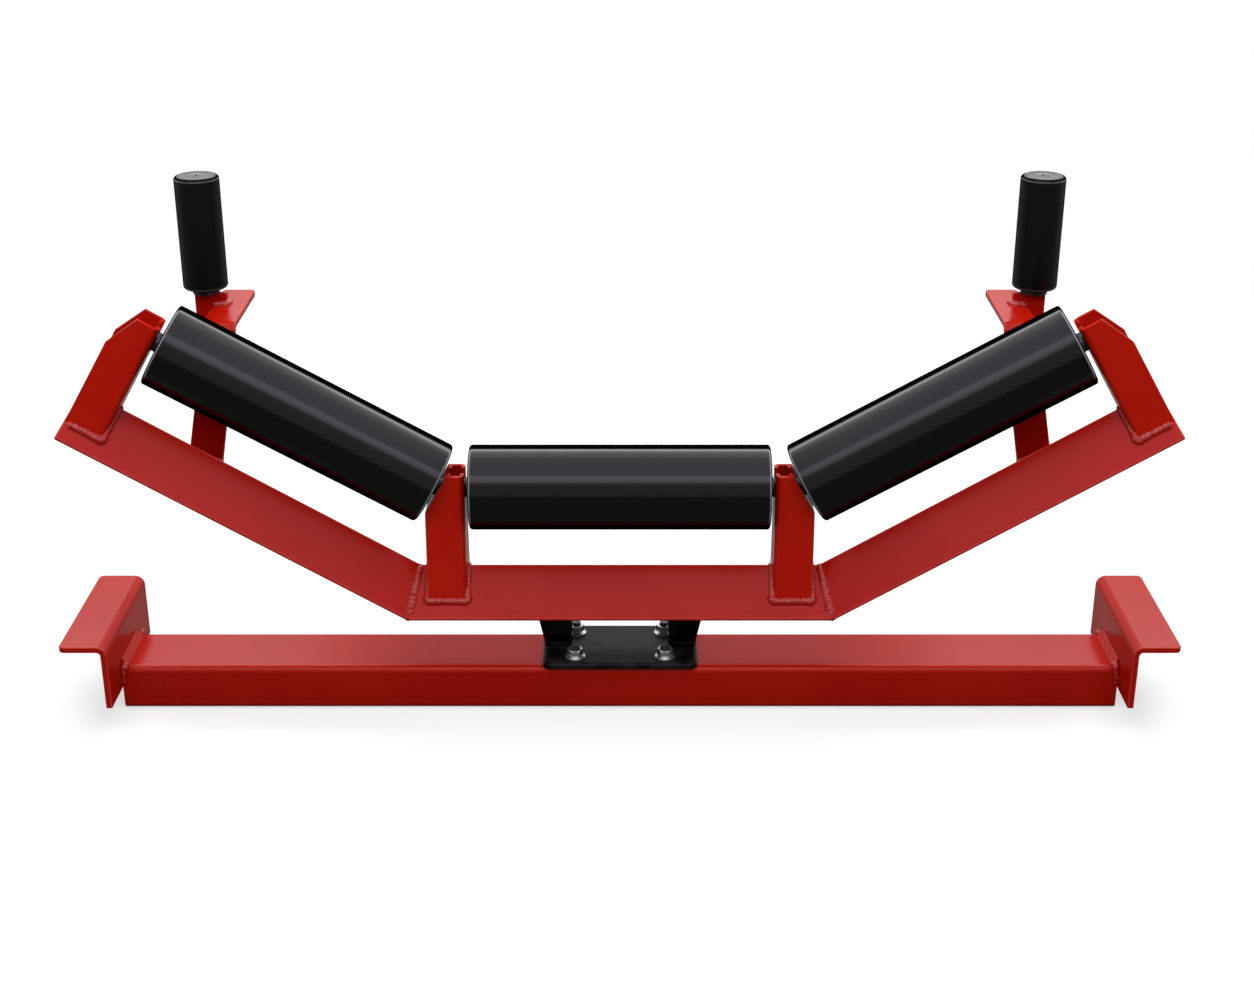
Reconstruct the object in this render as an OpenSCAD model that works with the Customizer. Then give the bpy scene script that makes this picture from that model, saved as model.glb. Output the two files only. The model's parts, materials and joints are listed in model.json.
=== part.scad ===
// Self-aligning three-roll troughing idler set.
// Frame: +X along the idler, +Y the way the belt runs, +Z up.
// Origin: the swivel axis, at the underside of the cross tube.

/* [Rolls] */
// Outer diameter of each carrying roll
roll_d = 108; // [89:1:133]
// Length of each carrying roll
roll_len = 380; // [315:5:465]
// Wall of the roll shell
roll_wall = 4; // [3:0.5:6]
// Radius on the two outer edges of the roll shell
roll_edge_r = 3.5; // [1:0.5:5]
// Slope of the two wing rolls
trough_angle = 29.5; // [20:0.5:35]
// Height of the centre roll's axis above the underside of the cross tube
roll_axis_h = 292; // [280:1:330]
// From the end of the centre roll to the knuckle, where the roll axes cross
centre_gap = 37; // [36:0.5:50]
// From the knuckle to the inner end of a wing roll
wing_gap = 9; // [8:1:20]
// Diameter of the roll shaft
shaft_d = 25; // [22:1:27]
// Width across the two flats at each end of the roll shaft
shaft_flats = 18; // [14:0.5:20]
// How far the roll shaft stands out beyond the roll
shaft_out = 19; // [17:0.5:20]
// Distance from the end of the roll to the shoulder of the flats
shaft_shoulder = 4.5; // [2:0.5:4.5]

/* [Bearings] */
// Outside diameter of the roll bearings
roll_bearing_od = 52; // [47:1:62]
// Width of the roll bearings
roll_bearing_w = 15; // [12:1:17]
// Outside diameter of the guide roller bearings
guide_bearing_od = 47; // [42:1:47]
// Width of the guide roller bearings
guide_bearing_w = 14; // [12:1:15]
// Diameter of the bearing balls
ball_d = 7.94; // [6:0.01:8]
// Depth from the end of a roll to its bearing
bearing_in = 18; // [16:0.5:24]
// Wall of the pressed bearing housings
housing_t = 3; // [2:0.5:4]

/* [Beam] */
// Leg of the equal angle that the trough frame is made of
angle_leg = 75; // [65:1:80]
// Slope of the two wing beams
beam_angle = 30.5; // [20:0.5:35]
// Thickness of the angle
angle_t = 8; // [6:0.5:9]
// From a roll axis down to the ridge of the beam below it
beam_drop = 108; // [100:1:112]
// Length of wing beam beyond the outer bracket
beam_over = 1; // [0:0.5:20]

/* [Roll brackets] */
// Width of a bracket along the idler
bracket_w = 50; // [46:1:60]
// Plate thickness of a bracket
bracket_t = 5; // [4:0.5:6]
// Depth of a bracket at its top, along the belt
bracket_top = 46; // [40:1:52]
// Depth of a bracket where it meets the beam
bracket_base = 70; // [60:1:80]
// Height of a bracket above the roll axis
bracket_rise = 23; // [18:1:30]
// Outer radius of the two bends of a bracket
bracket_r = 8; // [6:0.5:10]
// Gap between a roll and the bracket web beside it
roll_end_gap = 6; // [5:0.5:8]
// Gap between a wing roll and the seat plate of its inner bracket
seat_gap = 5; // [5:0.5:7]
// Width of the corner cut off an outer bracket
corner_w = 21; // [10:1:26]
// Height of the corner cut off an outer bracket
corner_h = 44; // [20:1:60]
// Size of the fillet welds on the trough frame
weld = 6; // [4:0.5:7]

/* [Base] */
// Length of the cross tube
tube_len = 1290; // [1240:10:1500]
// Width of the cross tube
tube_w = 100; // [90:5:120]
// Height of the cross tube
tube_h = 60; // [58:1:62]
// Wall of the cross tube
tube_t = 5; // [4:0.5:6]
// Outer corner radius of the cross tube
tube_r = 8; // [6:0.5:12]
// Plate thickness of the feet
foot_t = 8; // [6:0.5:10]
// Width of the foot flange, from the end of the tube outwards
foot_w = 60; // [50:1:80]
// Length of the feet along the belt
foot_len = 212; // [170:2:260]
// Height of the top of the foot flange
foot_top = 118; // [100:1:130]
// Height of the lower edge of the foot
foot_low = 31; // [10:1:40]
// Inside radius of the bend in the foot
foot_r = 5; // [3:0.5:8]
// Radius of the free corners of the foot
foot_corner = 7; // [3:0.5:12]

/* [Swivel] */
// Width of the pedestal plate
ped_w = 200; // [190:2:230]
// Depth of the pedestal plate
ped_d = 112; // [106:1:130]
// Thickness of the pedestal plate
ped_t = 8; // [7:0.5:12]
// Corner radius of the pedestal plate
ped_r = 10; // [5:1:16]
// Bolt spacing of the pedestal along the tube
bolt_x = 116; // [110:1:118]
// Bolt spacing of the pedestal across the tube
bolt_y = 68; // [64:1:70]
// Thread diameter of the pedestal bolts
bolt_d = 12; // [10:1:12]
// Underside of the pedestal's bridge above the cross tube
bridge_h = 53; // [48:0.5:54]
// Thickness of the pedestal's bridge
bridge_t = 9.5; // [8:0.5:10]
// Height of the bearing boss above the underside of the bridge
boss_h = 24; // [20:0.5:24]
// Diameter of the bearing boss
boss_d = 54; // [50:1:56]
// Diameter of the kingpin
kingpin_d = 30; // [28:1:30]
// Swivel to each side that the stop pins allow, degrees
swivel = 8; // [4:1:9]

/* [Guide rollers] */
// Diameter of a guide roller
guide_d = 57; // [54:1:63]
// Length of a guide roller
guide_len = 146; // [120:2:200]
// Distance of a guide roller's axis from the middle of the idler
guide_x = 535; // [520:1:545]
// Distance of a guide roller's axis behind the roll axes
guide_y = 144; // [120:1:170]
// Diameter of the guide roller shaft
guide_shaft_d = 20; // [17:1:20]
// Width of the guide arm
arm_w = 42; // [38:1:46]
// Thickness of the guide arm
arm_t = 8; // [6:0.5:10]
// Distance of the arm's middle from the middle of the idler, at its flange
arm_x = 505; // [494:1:510]
// Front face of the arm behind the roll axes
arm_y = 58; // [57:0.5:62]
// Height of the top of the arm's flange
arm_top = 490; // [470:1:520]
// Length of the arm's flange
arm_flange = 148; // [140:1:180]
// Lean of the arm from the vertical
arm_lean = 10; // [6:0.5:14]
// Height of the post above the arm's flange
post_h = 15; // [10:1:20]

/* [Hidden] */
$fn = 64;

red = "#8f1208";
black = "#17181b";
steel = "#b9bcc0";
nylon = "#26272b";
bronze = "#b08d57";

far = 400;                                    // reach of a cutting block
fit = 0.05;                                   // radial clearance of a running fit
play = 0.2;                                   // clearance of a loose seat
knuckle_x = roll_len / 2 + centre_gap;        // where the centre and wing axes cross
ridge_to_toe = angle_leg / sqrt(2);           // outer corner of a leg below the ridge
inner_apex = angle_t * sqrt(2);               // depth of the inside corner below the ridge
ridge_z = roll_axis_h - beam_drop;            // top of the centre beam
wing_web_x = wing_gap + roll_len + roll_end_gap;
wing_end = wing_web_x + bracket_w + beam_over;

// Bearings: bore, outside diameter, width, ball diameter, number of balls
roll_bearing = [shaft_d, roll_bearing_od, roll_bearing_w, ball_d, 9];
guide_bearing = [guide_shaft_d, guide_bearing_od, guide_bearing_w, ball_d, 8];
ball_room = 0.1;                              // clearance round each ball

// Layers of a roll end, measured inwards from the end of the roll
housing_in = bearing_in - housing_t;          // outer face of the pressed web
housing_lip = 4;                              // start of the lip inside the shell
cap_in = 5.5;                                 // outer face of the dust cap
cap_t = 5;
cap_r = 25;
circlip_t = 1.5;

// Layers of the swivel, from the top of the tube up
bridge_z = tube_h + bridge_h;
boss_top = bridge_z + boss_h;
thrust = [kingpin_d, 47, 11, 6.35, 14];
saddle_z = boss_top + thrust[2];
saddle_t = 8;
saddle_len = 150;
nut_d = kingpin_d + 3;                        // round lock nut in the counterbore of the bridge
nut_h = 7;
sink_d = nut_d + 3;
sink_h = 9;
stop_x = 52;
stop_d = 10;

// Layers of a guide roller, from the top of the arm's flange up
post_top = arm_top + post_h;
guide_foot_t = 6;
guide_foot_d = guide_shaft_d + 14;
guide_z = post_top + guide_foot_t + 1;        // underside of the guide roller
guide_wall = (guide_d - guide_bearing[1]) / 2;
guide_low_bearing = 9;                        // bearing faces above the underside
guide_high_bearing = guide_len - 28;
guide_cap_t = 5;
guide_rim = 2;

// ---------- helpers ----------

// Rectangle centred on the origin with round corners
module round_rect(w, d, r) {
    square([w - 2 * r, d], center = true);
    square([w, d - 2 * r], center = true);
    for (x = [-1, 1], y = [-1, 1])
        translate([x * (w / 2 - r), y * (d / 2 - r)]) circle(r);
}

// Plate bent once: its outer corner at the origin, one leg to +X, one to -Y
module bent_profile(leg_x, leg_y, t, ri) {
    ro = ri + t;
    translate([ro, -t]) square([leg_x - ro, t]);
    translate([0, -leg_y]) square([t, leg_y - ro]);
    intersection() {
        translate([ro, -ro]) difference() {
            circle(ro);
            circle(ri);
        }
        translate([0, -ro]) square(ro);
    }
}

// Sweeps a YZ outline along +X
module along_x(len) rotate([90, 0, 90]) linear_extrude(len) children();

// Sweeps an XZ outline along +Y
module along_y(len) translate([0, len, 0]) rotate([90, 0, 0]) linear_extrude(len) children();

// Frame of the right wing: the knuckle, X out along the wing, Z square to it
module wing() translate([knuckle_x, 0, roll_axis_h]) rotate([0, -trough_angle, 0]) children();

// Frame of the right wing beam: the knuckle, X out along the beam, Z square to it
module limb() translate([knuckle_x, 0, roll_axis_h]) rotate([0, -beam_angle, 0]) children();

// Frame of the centre beam: the roll axis
module centre() translate([0, 0, roll_axis_h]) children();

// Turns a revolved part's axis from Z to X
module axis_x() rotate([0, 90, 0]) children();

// One part on each side
module both_sides() {
    children();
    mirror([1, 0, 0]) children();
}

// The two ends of a roll that lies along Z
module both_ends(len) {
    children();
    translate([0, 0, len]) mirror([0, 0, 1]) children();
}

module ring(ro, ri, h) linear_extrude(h) difference() {
    circle(ro);
    circle(ri);
}

// ---------- bearings, axis along Z, lower face at the origin ----------

function pitch_r(b) = (b[0] + b[1]) / 4;
function race_gap(b) = b[3] * 0.63;

// Ring from radius r0 to r1 with the groove that the balls run in
module race(b, r0, r1) rotate_extrude() difference() {
    translate([r0, 0]) square([r1 - r0, b[2]]);
    translate([pitch_r(b), b[2] / 2]) circle(b[3] / 2 + ball_room);
}

module inner_race(b) race(b, b[0] / 2, pitch_r(b) - race_gap(b) / 2);
module outer_race(b) race(b, pitch_r(b) + race_gap(b) / 2, b[1] / 2);

module at_balls(b) for (i = [0 : b[4] - 1])
    rotate([0, 0, i * 360 / b[4]]) translate([pitch_r(b), 0, b[2] / 2]) children();

module balls(b) at_balls(b) sphere(d = b[3], $fn = 24);

// Ring with a round pocket for each ball
module cage(b) difference() {
    translate([0, 0, b[2] / 2 - b[3] * 0.6]) ring(pitch_r(b) + 0.8, pitch_r(b) - 0.8, b[3] * 1.2);
    at_balls(b) rotate([0, 90, 0]) cylinder(d = b[3] + 2 * ball_room, h = b[3], center = true, $fn = 24);
}

// Outer race, balls and cage: what turns with the roll
module turning_bearing(b) {
    outer_race(b);
    balls(b);
    cage(b);
}

// ---------- a carrying roll, axis along Z, from its end at the origin ----------

module roll_shell() rotate_extrude() difference() {
    translate([roll_d / 2 - roll_wall, 0]) square([roll_wall, roll_len]);
    for (z = [0, roll_len]) translate([roll_d / 2, z]) difference() {
        square(2 * roll_edge_r, center = true);
        translate([-roll_edge_r, z == 0 ? roll_edge_r : -roll_edge_r]) circle(roll_edge_r);
    }
}

// Pressed cup that joins the shell to the bearing
module roll_housing() {
    shell_r = roll_d / 2 - roll_wall;
    seat_r = roll_bearing[1] / 2;
    back = bearing_in + roll_bearing[2];
    rotate_extrude() {
        translate([shell_r - housing_t, housing_lip]) square([housing_t, housing_in + housing_t - housing_lip]);
        translate([seat_r, housing_in]) square([shell_r - seat_r, housing_t]);
        translate([seat_r, housing_in - 3]) square([housing_t, back - housing_in + 3 + housing_t]);
        translate([seat_r - 4, back]) square([4 + housing_t, housing_t]);
    }
}

module roll_bearing_pair() both_ends(roll_len) translate([0, 0, bearing_in]) turning_bearing(roll_bearing);

// Labyrinth ring that turns with the roll
module roll_seal() rotate_extrude() {
    translate([shaft_d / 2 + 6, bearing_in - 4.5]) square([roll_bearing[1] / 2 - shaft_d / 2 - 6, 2]);
    translate([roll_bearing[1] / 2 - 3, bearing_in - 4.5]) square([3, 4.3]);
    translate([shaft_d / 2 + 6, bearing_in - 4.5]) square([1.5, 4]);
}

// Dust cap that stays still on the shaft
module roll_dust_cap() rotate_extrude() {
    translate([shaft_d / 2, cap_in]) square([cap_r - shaft_d / 2, 2]);
    translate([cap_r - 2, cap_in]) square([2, cap_t]);
    translate([shaft_d / 2, cap_in]) square([3, bearing_in - cap_in]);
}

module roll_circlip() translate([0, 0, bearing_in + roll_bearing[2]])
    ring(shaft_d / 2 + 2.5, shaft_d / 2 - 1, circlip_t);

// Shaft with two flats at each end and a groove behind each bearing
module roll_shaft() difference() {
    translate([0, 0, -shaft_out]) cylinder(d = shaft_d, h = roll_len + 2 * shaft_out);
    both_ends(roll_len) for (y = [-1, 1])
        translate([-far / 2, y > 0 ? shaft_flats / 2 : -far - shaft_flats / 2, -shaft_out - 1])
            cube([far, far, shaft_out - shaft_shoulder + 1]);
    both_ends(roll_len) translate([0, 0, bearing_in + roll_bearing[2]])
        ring(shaft_d, shaft_d / 2 - 1, circlip_t);
}

// A roll part in each of its three places
module at_centre_roll() centre() translate([-roll_len / 2, 0, 0]) axis_x() children();
module at_right_roll() wing() translate([wing_gap, 0, 0]) axis_x() children();
module at_left_roll() mirror([1, 0, 0]) at_right_roll() children();

// ---------- trough frame ----------

// Equal angle with its ridge up at the origin
module angle_profile() rotate(-135) difference() {
    union() {
        square([angle_leg, angle_t]);
        square([angle_t, angle_leg]);
        translate([angle_t, angle_t]) difference() {
            square(angle_t);
            translate([angle_t, angle_t]) circle(angle_t);
        }
    }
    for (m = [0, 1]) mirror([m, -m]) translate([angle_leg, angle_t]) difference() {
        square(angle_t, center = true);
        translate([-angle_t / 2, -angle_t / 2]) circle(angle_t / 2);
    }
}

// Solid roof: the space under the outside of the angle
module roof(len) along_x(len) rotate(-135) square(2 * angle_leg);

// Everything beyond the mitre plane of the right kink
module past_mitre() centre() translate([knuckle_x, 0, 0]) rotate([0, -beam_angle / 2, 0])
    translate([0, -far / 2, -far]) cube([far, far, 2 * far]);

module before_mitre() centre() translate([knuckle_x, 0, 0]) rotate([0, -beam_angle / 2, 0])
    translate([-far, -far / 2, -far]) cube([far, far, 2 * far]);

module wing_beam() difference() {
    limb() translate([-beam_drop, 0, -beam_drop]) along_x(wing_end + beam_drop) angle_profile();
    before_mitre();
}

// Height of the shaft seat of an outer bracket, above a line through the knuckle along the beam
seat_z = -wing_web_x * tan(beam_angle - trough_angle);

// Depth of a bracket, halved, at height z, when its shaft seat is at the height seat
function half_depth(z, seat = 0) = bracket_top / 2
    + (seat + bracket_rise - z) * (bracket_base - bracket_top) / 2
      / (seat + bracket_rise + beam_drop + bracket_base / 2);

bracket_low = -beam_drop - bracket_base / 2 - 4;

// Outline of a bracket in plan, its web at x = inset
module bracket_plan(half, inset, r, w) {
    translate([inset + r, -half]) square([w - inset - r, 2 * half]);
    translate([inset, r - half]) square([w - inset, 2 * (half - r)]);
    for (y = [-1, 1]) translate([inset + r, y * (half - r)]) circle(r, $fn = 32);
}

// Tapered block that the folded bracket lies in; inset takes it to the inside of the plate
module bracket_block(inset, r, w, seat = 0) hull()
    for (z = [bracket_low, seat + bracket_rise + (inset > 0 ? 1 : 0)])
        translate([0, 0, z - 0.01]) linear_extrude(0.01)
            bracket_plan(half_depth(z, seat) - inset, inset, r, w);

// Slot that a shaft end drops into, along X
module shaft_slot() translate([-2, 0, 0]) along_x(bracket_t + 4) {
    intersection() {
        circle(shaft_d / 2 + play);
        square([shaft_flats + 2 * play, 2 * shaft_d], center = true);
    }
    translate([-shaft_flats / 2 - play, 0]) square([shaft_flats + 2 * play, far]);
}

// Folded channel on the roof of the wing beam, open outwards, with its upper corner cut off
module outer_bracket() limb() translate([wing_web_x, 0, 0]) difference() {
    top = seat_z + bracket_rise;
    bracket_block(0, bracket_r, bracket_w, seat_z);
    bracket_block(bracket_t, bracket_r - bracket_t, bracket_w + 1, seat_z);
    translate([-1, 0, -beam_drop]) roof(bracket_w + 2);
    translate([0, 0, seat_z]) shaft_slot();
    along_y_cut() polygon([[bracket_w - corner_w, top + 1], [bracket_w - corner_w, top],
                           [bracket_w, top - corner_h], [bracket_w + 1, top - corner_h],
                           [bracket_w + 1, top + 1]]);
}

module along_y_cut() translate([0, -far / 2, 0]) along_y(far) children();

seat_x = wing_gap - seat_gap - bracket_t;     // inner face of the seat plate, from the knuckle

module at_inner_web() centre() translate([roll_len / 2 + roll_end_gap, 0, 0]) children();

// Everything beyond a plane square to the wing, x out from the knuckle
module past(x) wing() translate([x, -far / 2, -far / 2]) cube(far);

// Closed post whose slanted front plate carries the inner end of the wing roll
module inner_bracket() difference() {
    at_inner_web() bracket_block(0, bracket_r, bracket_w);
    past(seat_x + bracket_t);
    difference() {
        at_inner_web() bracket_block(bracket_t, bracket_r - bracket_t, bracket_w - bracket_t);
        past(seat_x);
    }
    at_inner_web() translate([-1, 0, -beam_drop]) roof(bracket_w + 2);
    at_inner_web() shaft_slot();
    wing() translate([seat_x, 0, 0]) shaft_slot();
}

// ---------- modules of the base ----------

module cross_tube() color(red) difference() {
    translate([-tube_len / 2, 0, tube_h / 2]) along_x(tube_len) difference() {
        round_rect(tube_w, tube_h, tube_r);
        round_rect(tube_w - 2 * tube_t, tube_h - 2 * tube_t, tube_r - tube_t);
    }
    at_pedestal_bolts() cylinder(d = bolt_d + 1.5, h = tube_h + 1);
}

module at_pedestal_bolts() for (x = [-1, 1], y = [-1, 1])
    translate([x * bolt_x / 2, y * bolt_y / 2, tube_h / 2]) children();

module foot() intersection() {
    translate([tube_len / 2, -foot_len / 2, foot_top])
        along_y(foot_len) bent_profile(foot_w, foot_top - foot_low, foot_t, foot_r);
    translate([tube_len / 2, 0, 0]) linear_extrude(far) round_rect(2 * foot_w, foot_len, foot_corner);
}

module foot_left() color(red) mirror([1, 0, 0]) foot();
module foot_right() color(red) foot();

foot_weld = 9;

// Triangular fillet along X, its square corner at the origin
module fillet(len, size) along_x(len) polygon([[0, 0], [size, 0], [0, size]]);

module foot_welds() color(red) both_sides() translate([tube_len / 2, 0, 0]) {
    translate([0, -tube_w / 2 + tube_r, tube_h]) rotate([0, 0, 90]) fillet(tube_w - 2 * tube_r, foot_weld);
    for (m = [0, 1]) mirror([0, m, 0]) translate([0, -tube_w / 2, foot_low + 2])
        linear_extrude(tube_h - tube_r - foot_low - 2) polygon([[0, 0], [0, -foot_weld], [-foot_weld, 0]]);
}

// Cast pedestal: plate, two flared legs, bridge and bearing boss
module pivot_pedestal() color(black) difference() {
    union() {
        translate([0, 0, tube_h]) linear_extrude(ped_t) round_rect(ped_w, ped_d, ped_r);
        both_sides() pedestal_leg();
        translate([0, 0, bridge_z]) linear_extrude(bridge_t) round_rect(2 * leg_out, bridge_d, 8);
        translate([0, 0, bridge_z + bridge_t - 1]) cylinder(d = boss_d, h = boss_h - bridge_t + 1);
    }
    translate([0, 0, bridge_z - 1]) cylinder(d = bush_od, h = boss_h + 2);
    translate([0, 0, bridge_z - 1]) cylinder(d = sink_d, h = sink_h + 1);
    at_pedestal_bolts() cylinder(d = bolt_d + 1.5, h = tube_h);
    for (x = [-1, 1]) translate([x * stop_x, 0, bridge_z - 1]) cylinder(d = stop_d, h = bridge_t + 2);
}

bush_od = kingpin_d + 4;
bridge_d = 44;                                // depth of the bridge along the belt
leg_out = ped_w / 2 + 7;
leg_in = bolt_x / 2 + bolt_d / 2;
leg_back = bolt_y / 2 - 14;

module pedestal_leg() hull() {
    translate([leg_in, leg_back - 16, tube_h + ped_t - 1]) cube([ped_w / 2 - 1 - leg_in, 16, 1]);
    translate([leg_in - 2, -bridge_d / 2, bridge_z]) cube([leg_out - leg_in, bridge_d, 1]);
}

module hex(across, h) cylinder(d = across / cos(30), h = h, $fn = 6);

bolt_hex = 1.5 * bolt_d;
bolt_head = 7.5;
bolt_end = 4;

// Hex bolts, heads inside the tube
module pedestal_bolts() color(steel) for (x = [-1, 1], y = [-1, 1])
    translate([x * bolt_x / 2, y * bolt_y / 2, tube_h - tube_t]) {
        translate([0, 0, -bolt_head]) hex(bolt_hex, bolt_head);
        cylinder(d = bolt_d, h = tube_t + ped_t + bolt_d + bolt_end - 1);
        translate([0, 0, tube_t + ped_t + bolt_d + bolt_end - 1])
            cylinder(d1 = bolt_d, d2 = bolt_d - 2, h = 1);
    }

// Flange nuts
module pedestal_nuts() color(steel) for (x = [-1, 1], y = [-1, 1])
    translate([x * bolt_x / 2, y * bolt_y / 2, tube_h + ped_t]) difference() {
        union() {
            cylinder(d = 2.15 * bolt_d, h = 1.5);
            translate([0, 0, 1.5]) cylinder(d1 = 2.15 * bolt_d, d2 = bolt_hex, h = 2.5);
            intersection() {
                hex(bolt_hex, bolt_d);
                cylinder(d1 = bolt_hex + bolt_d * 1.6, d2 = bolt_hex * 1.02, h = bolt_d);
            }
        }
        translate([0, 0, -1]) cylinder(d = bolt_d + 2 * fit, h = bolt_d + 2);
    }

module pivot_bush() color(bronze) translate([0, 0, bridge_z + sink_h])
    ring(bush_od / 2, kingpin_d / 2 + fit, boss_h - sink_h);

module swivel_stop_pins() color(steel) for (x = [-1, 1])
    translate([x * stop_x, 0, bridge_z]) cylinder(d = stop_d, h = saddle_z + saddle_t - 2 - bridge_z);

// ---------- modules of the thrust bearing ----------

thrust_pitch = (thrust[0] + thrust[1]) / 4;
race_t = 3;

thrust_mid = boss_top + thrust[2] / 2;

// Washer from height z, with the groove that the balls run in
module thrust_race(z, r) rotate_extrude() difference() {
    translate([r, z]) square([thrust[1] / 2 - r, race_t]);
    translate([thrust_pitch, thrust_mid]) circle(thrust[3] / 2 + ball_room);
}

module thrust_race_lower() color(steel) thrust_race(boss_top, kingpin_d / 2 + 1);
module thrust_race_upper() color(steel) thrust_race(saddle_z - race_t, kingpin_d / 2);

module at_thrust_balls() for (i = [0 : thrust[4] - 1])
    rotate([0, 0, i * 360 / thrust[4]]) translate([thrust_pitch, 0, thrust_mid]) children();

module thrust_balls() color(steel) {
    at_thrust_balls() sphere(d = thrust[3], $fn = 24);
    translate([0, 0, -1]) difference() {
        translate([0, 0, thrust_mid]) ring(thrust[1] / 2 - 0.5, kingpin_d / 2 + 1, 2);
        at_thrust_balls() cylinder(d = thrust[3] + 2 * ball_room, h = 2 * race_t, center = true, $fn = 24);
    }
}

// ---------- modules of the swivelling frame ----------

module beam_centre() color(red) difference() {
    translate([-knuckle_x - beam_drop, 0, ridge_z]) along_x(2 * (knuckle_x + beam_drop)) angle_profile();
    both_sides() past_mitre();
}

module beam_wing_left() color(red) mirror([1, 0, 0]) wing_beam();
module beam_wing_right() color(red) wing_beam();

kink_slope = tan(beam_angle / 2);

// Bead over the mitre, up one side and down the other
module kink_welds() color(red) both_sides() difference() {
    for (y = [-1, 1]) {
        run = [kink_slope * ridge_to_toe, y * ridge_to_toe, -ridge_to_toe];
        centre() translate([knuckle_x + kink_slope * beam_drop, 0, -beam_drop])
            rotate([0, acos(run[2] / norm(run)), atan2(run[1], run[0])])
                cylinder(r = weld * 0.75, h = norm(run) - 1);
    }
    translate([0, 0, ridge_z]) roof(knuckle_x + 2 * beam_drop);
    limb() translate([-beam_drop, 0, -beam_drop]) roof(wing_end + beam_drop);
}

module bracket_outer_left() color(red) mirror([1, 0, 0]) outer_bracket();
module bracket_outer_right() color(red) outer_bracket();
module bracket_inner_left() color(red) mirror([1, 0, 0]) inner_bracket();
module bracket_inner_right() color(red) inner_bracket();

// Fillets between a bracket and the roof of the beam, the web at the origin
module bracket_fillets(closed, seat = 0) {
    foot_z = -beam_drop - bracket_base / 2;
    slant = weld / sqrt(2);
    for (m = [0, 1]) mirror([0, m, 0]) {
        translate([bracket_r, 0, 0]) along_x(bracket_w - bracket_r)
            polygon([[-bracket_base / 2, foot_z], [-half_depth(foot_z + weld, seat), foot_z + weld],
                     [-bracket_base / 2 - slant, foot_z - slant]]);
        // up the web, and up the closing plate, to the ridge
        translate([0, 0, -beam_drop]) rotate([45, 0, 0]) translate([0, -bracket_base / sqrt(2) + weld, 0])
            along_y(bracket_base / sqrt(2) - weld) {
                polygon([[0, 0], [-weld, 0], [0, weld]]);
                if (closed) translate([bracket_w, 0]) polygon([[0, 0], [weld, 0], [0, weld]]);
            }
    }
}

module bracket_welds() color(red) both_sides() {
    limb() translate([wing_web_x, 0, 0]) bracket_fillets(false, seat_z);
    at_inner_web() bracket_fillets(true);
}

// Block that seats inside the ridge of the beam, with a window for each stop pin
module pivot_saddle() color(red) difference() {
    low = ridge_z - inner_apex - saddle_z;
    translate([-saddle_len / 2, 0, saddle_z]) along_x(saddle_len)
        polygon([[-low, 0], [low, 0], [low - saddle_t, saddle_t], [saddle_t - low, saddle_t]]);
    translate([0, 0, saddle_z - 1]) cylinder(d = kingpin_d, h = saddle_t + 2);
    reach = stop_d / 2 + stop_x * sin(swivel) + play;
    for (x = [-1, 1]) translate([x * stop_x - stop_d / 2 - 1.5, -reach, saddle_z - 1])
        cube([stop_d + 3, 2 * reach, saddle_t + 2]);
}

thread_d = kingpin_d - 6;

module kingpin() color(steel) {
    translate([0, 0, bridge_z + sink_h - play]) cylinder(d = kingpin_d, h = saddle_z + saddle_t - bridge_z - sink_h + play);
    translate([0, 0, bridge_z + 1]) cylinder(d = thread_d, h = sink_h);
}

// Round lock nut with four key slots, sunk in the underside of the bridge
module kingpin_nut() color(steel) translate([0, 0, bridge_z + sink_h - play - nut_h]) difference() {
    cylinder(d = nut_d, h = nut_h);
    translate([0, 0, -1]) cylinder(d = thread_d + 2 * fit, h = nut_h + 2);
    for (a = [0 : 90 : 270]) rotate([0, 0, a]) translate([nut_d / 2 - 2, -2.5, -1]) cube([4, 5, nut_h + 2]);
}

module roll_shaft_left() color(steel) at_left_roll() roll_shaft();
module roll_shaft_centre() color(steel) at_centre_roll() roll_shaft();
module roll_shaft_right() color(steel) at_right_roll() roll_shaft();

module every_roll() {
    at_left_roll() children();
    at_centre_roll() children();
    at_right_roll() children();
}

module roll_inner_races() color(steel) every_roll() both_ends(roll_len)
    translate([0, 0, bearing_in]) inner_race(roll_bearing);
module roll_dust_caps() color(nylon) every_roll() both_ends(roll_len) roll_dust_cap();

// ---------- guide rollers ----------

arm_low = roll_axis_h + (arm_x - knuckle_x) * tan(beam_angle)
          - (beam_drop + ridge_to_toe) / cos(beam_angle);
arm_run = (arm_top - arm_low) * tan(arm_lean);

// Bent bar: leaning leg behind the wing beam, flange to the rear
module guide_arm() {
    bend = arm_t + 8;
    // flange and bend
    intersection() {
        translate([arm_x - arm_w / 2, arm_y, arm_top]) along_x(arm_w) bent_profile(arm_flange, bend, arm_t, 6);
        translate([arm_x, arm_y, 0]) linear_extrude(2 * far) round_rect(arm_w, 2 * arm_flange, 6);
    }
    // leg, outwards and down
    translate([0, arm_y, 0]) along_y(arm_t) polygon([
        [arm_x - arm_w / 2, arm_top - bend], [arm_x + arm_w / 2, arm_top - bend],
        [arm_x + arm_w / 2 + arm_run, arm_low], [arm_x - arm_w / 2 + arm_run, arm_low - arm_w * 0.4]]);
    // two gussets between the rear leg of the beam and the arm
    gusset_top = beam_drop + gusset_in;
    for (s = [-1, 1])
        limb() translate([arm_foot + s * gusset_gap / 2 - arm_t / 2, 0, 0]) along_x(arm_t)
            polygon([[gusset_in, -gusset_top], [ridge_to_toe, -beam_drop - ridge_to_toe],
                     [arm_y, -beam_drop - ridge_to_toe], [arm_y, -gusset_top]]);
}

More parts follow.
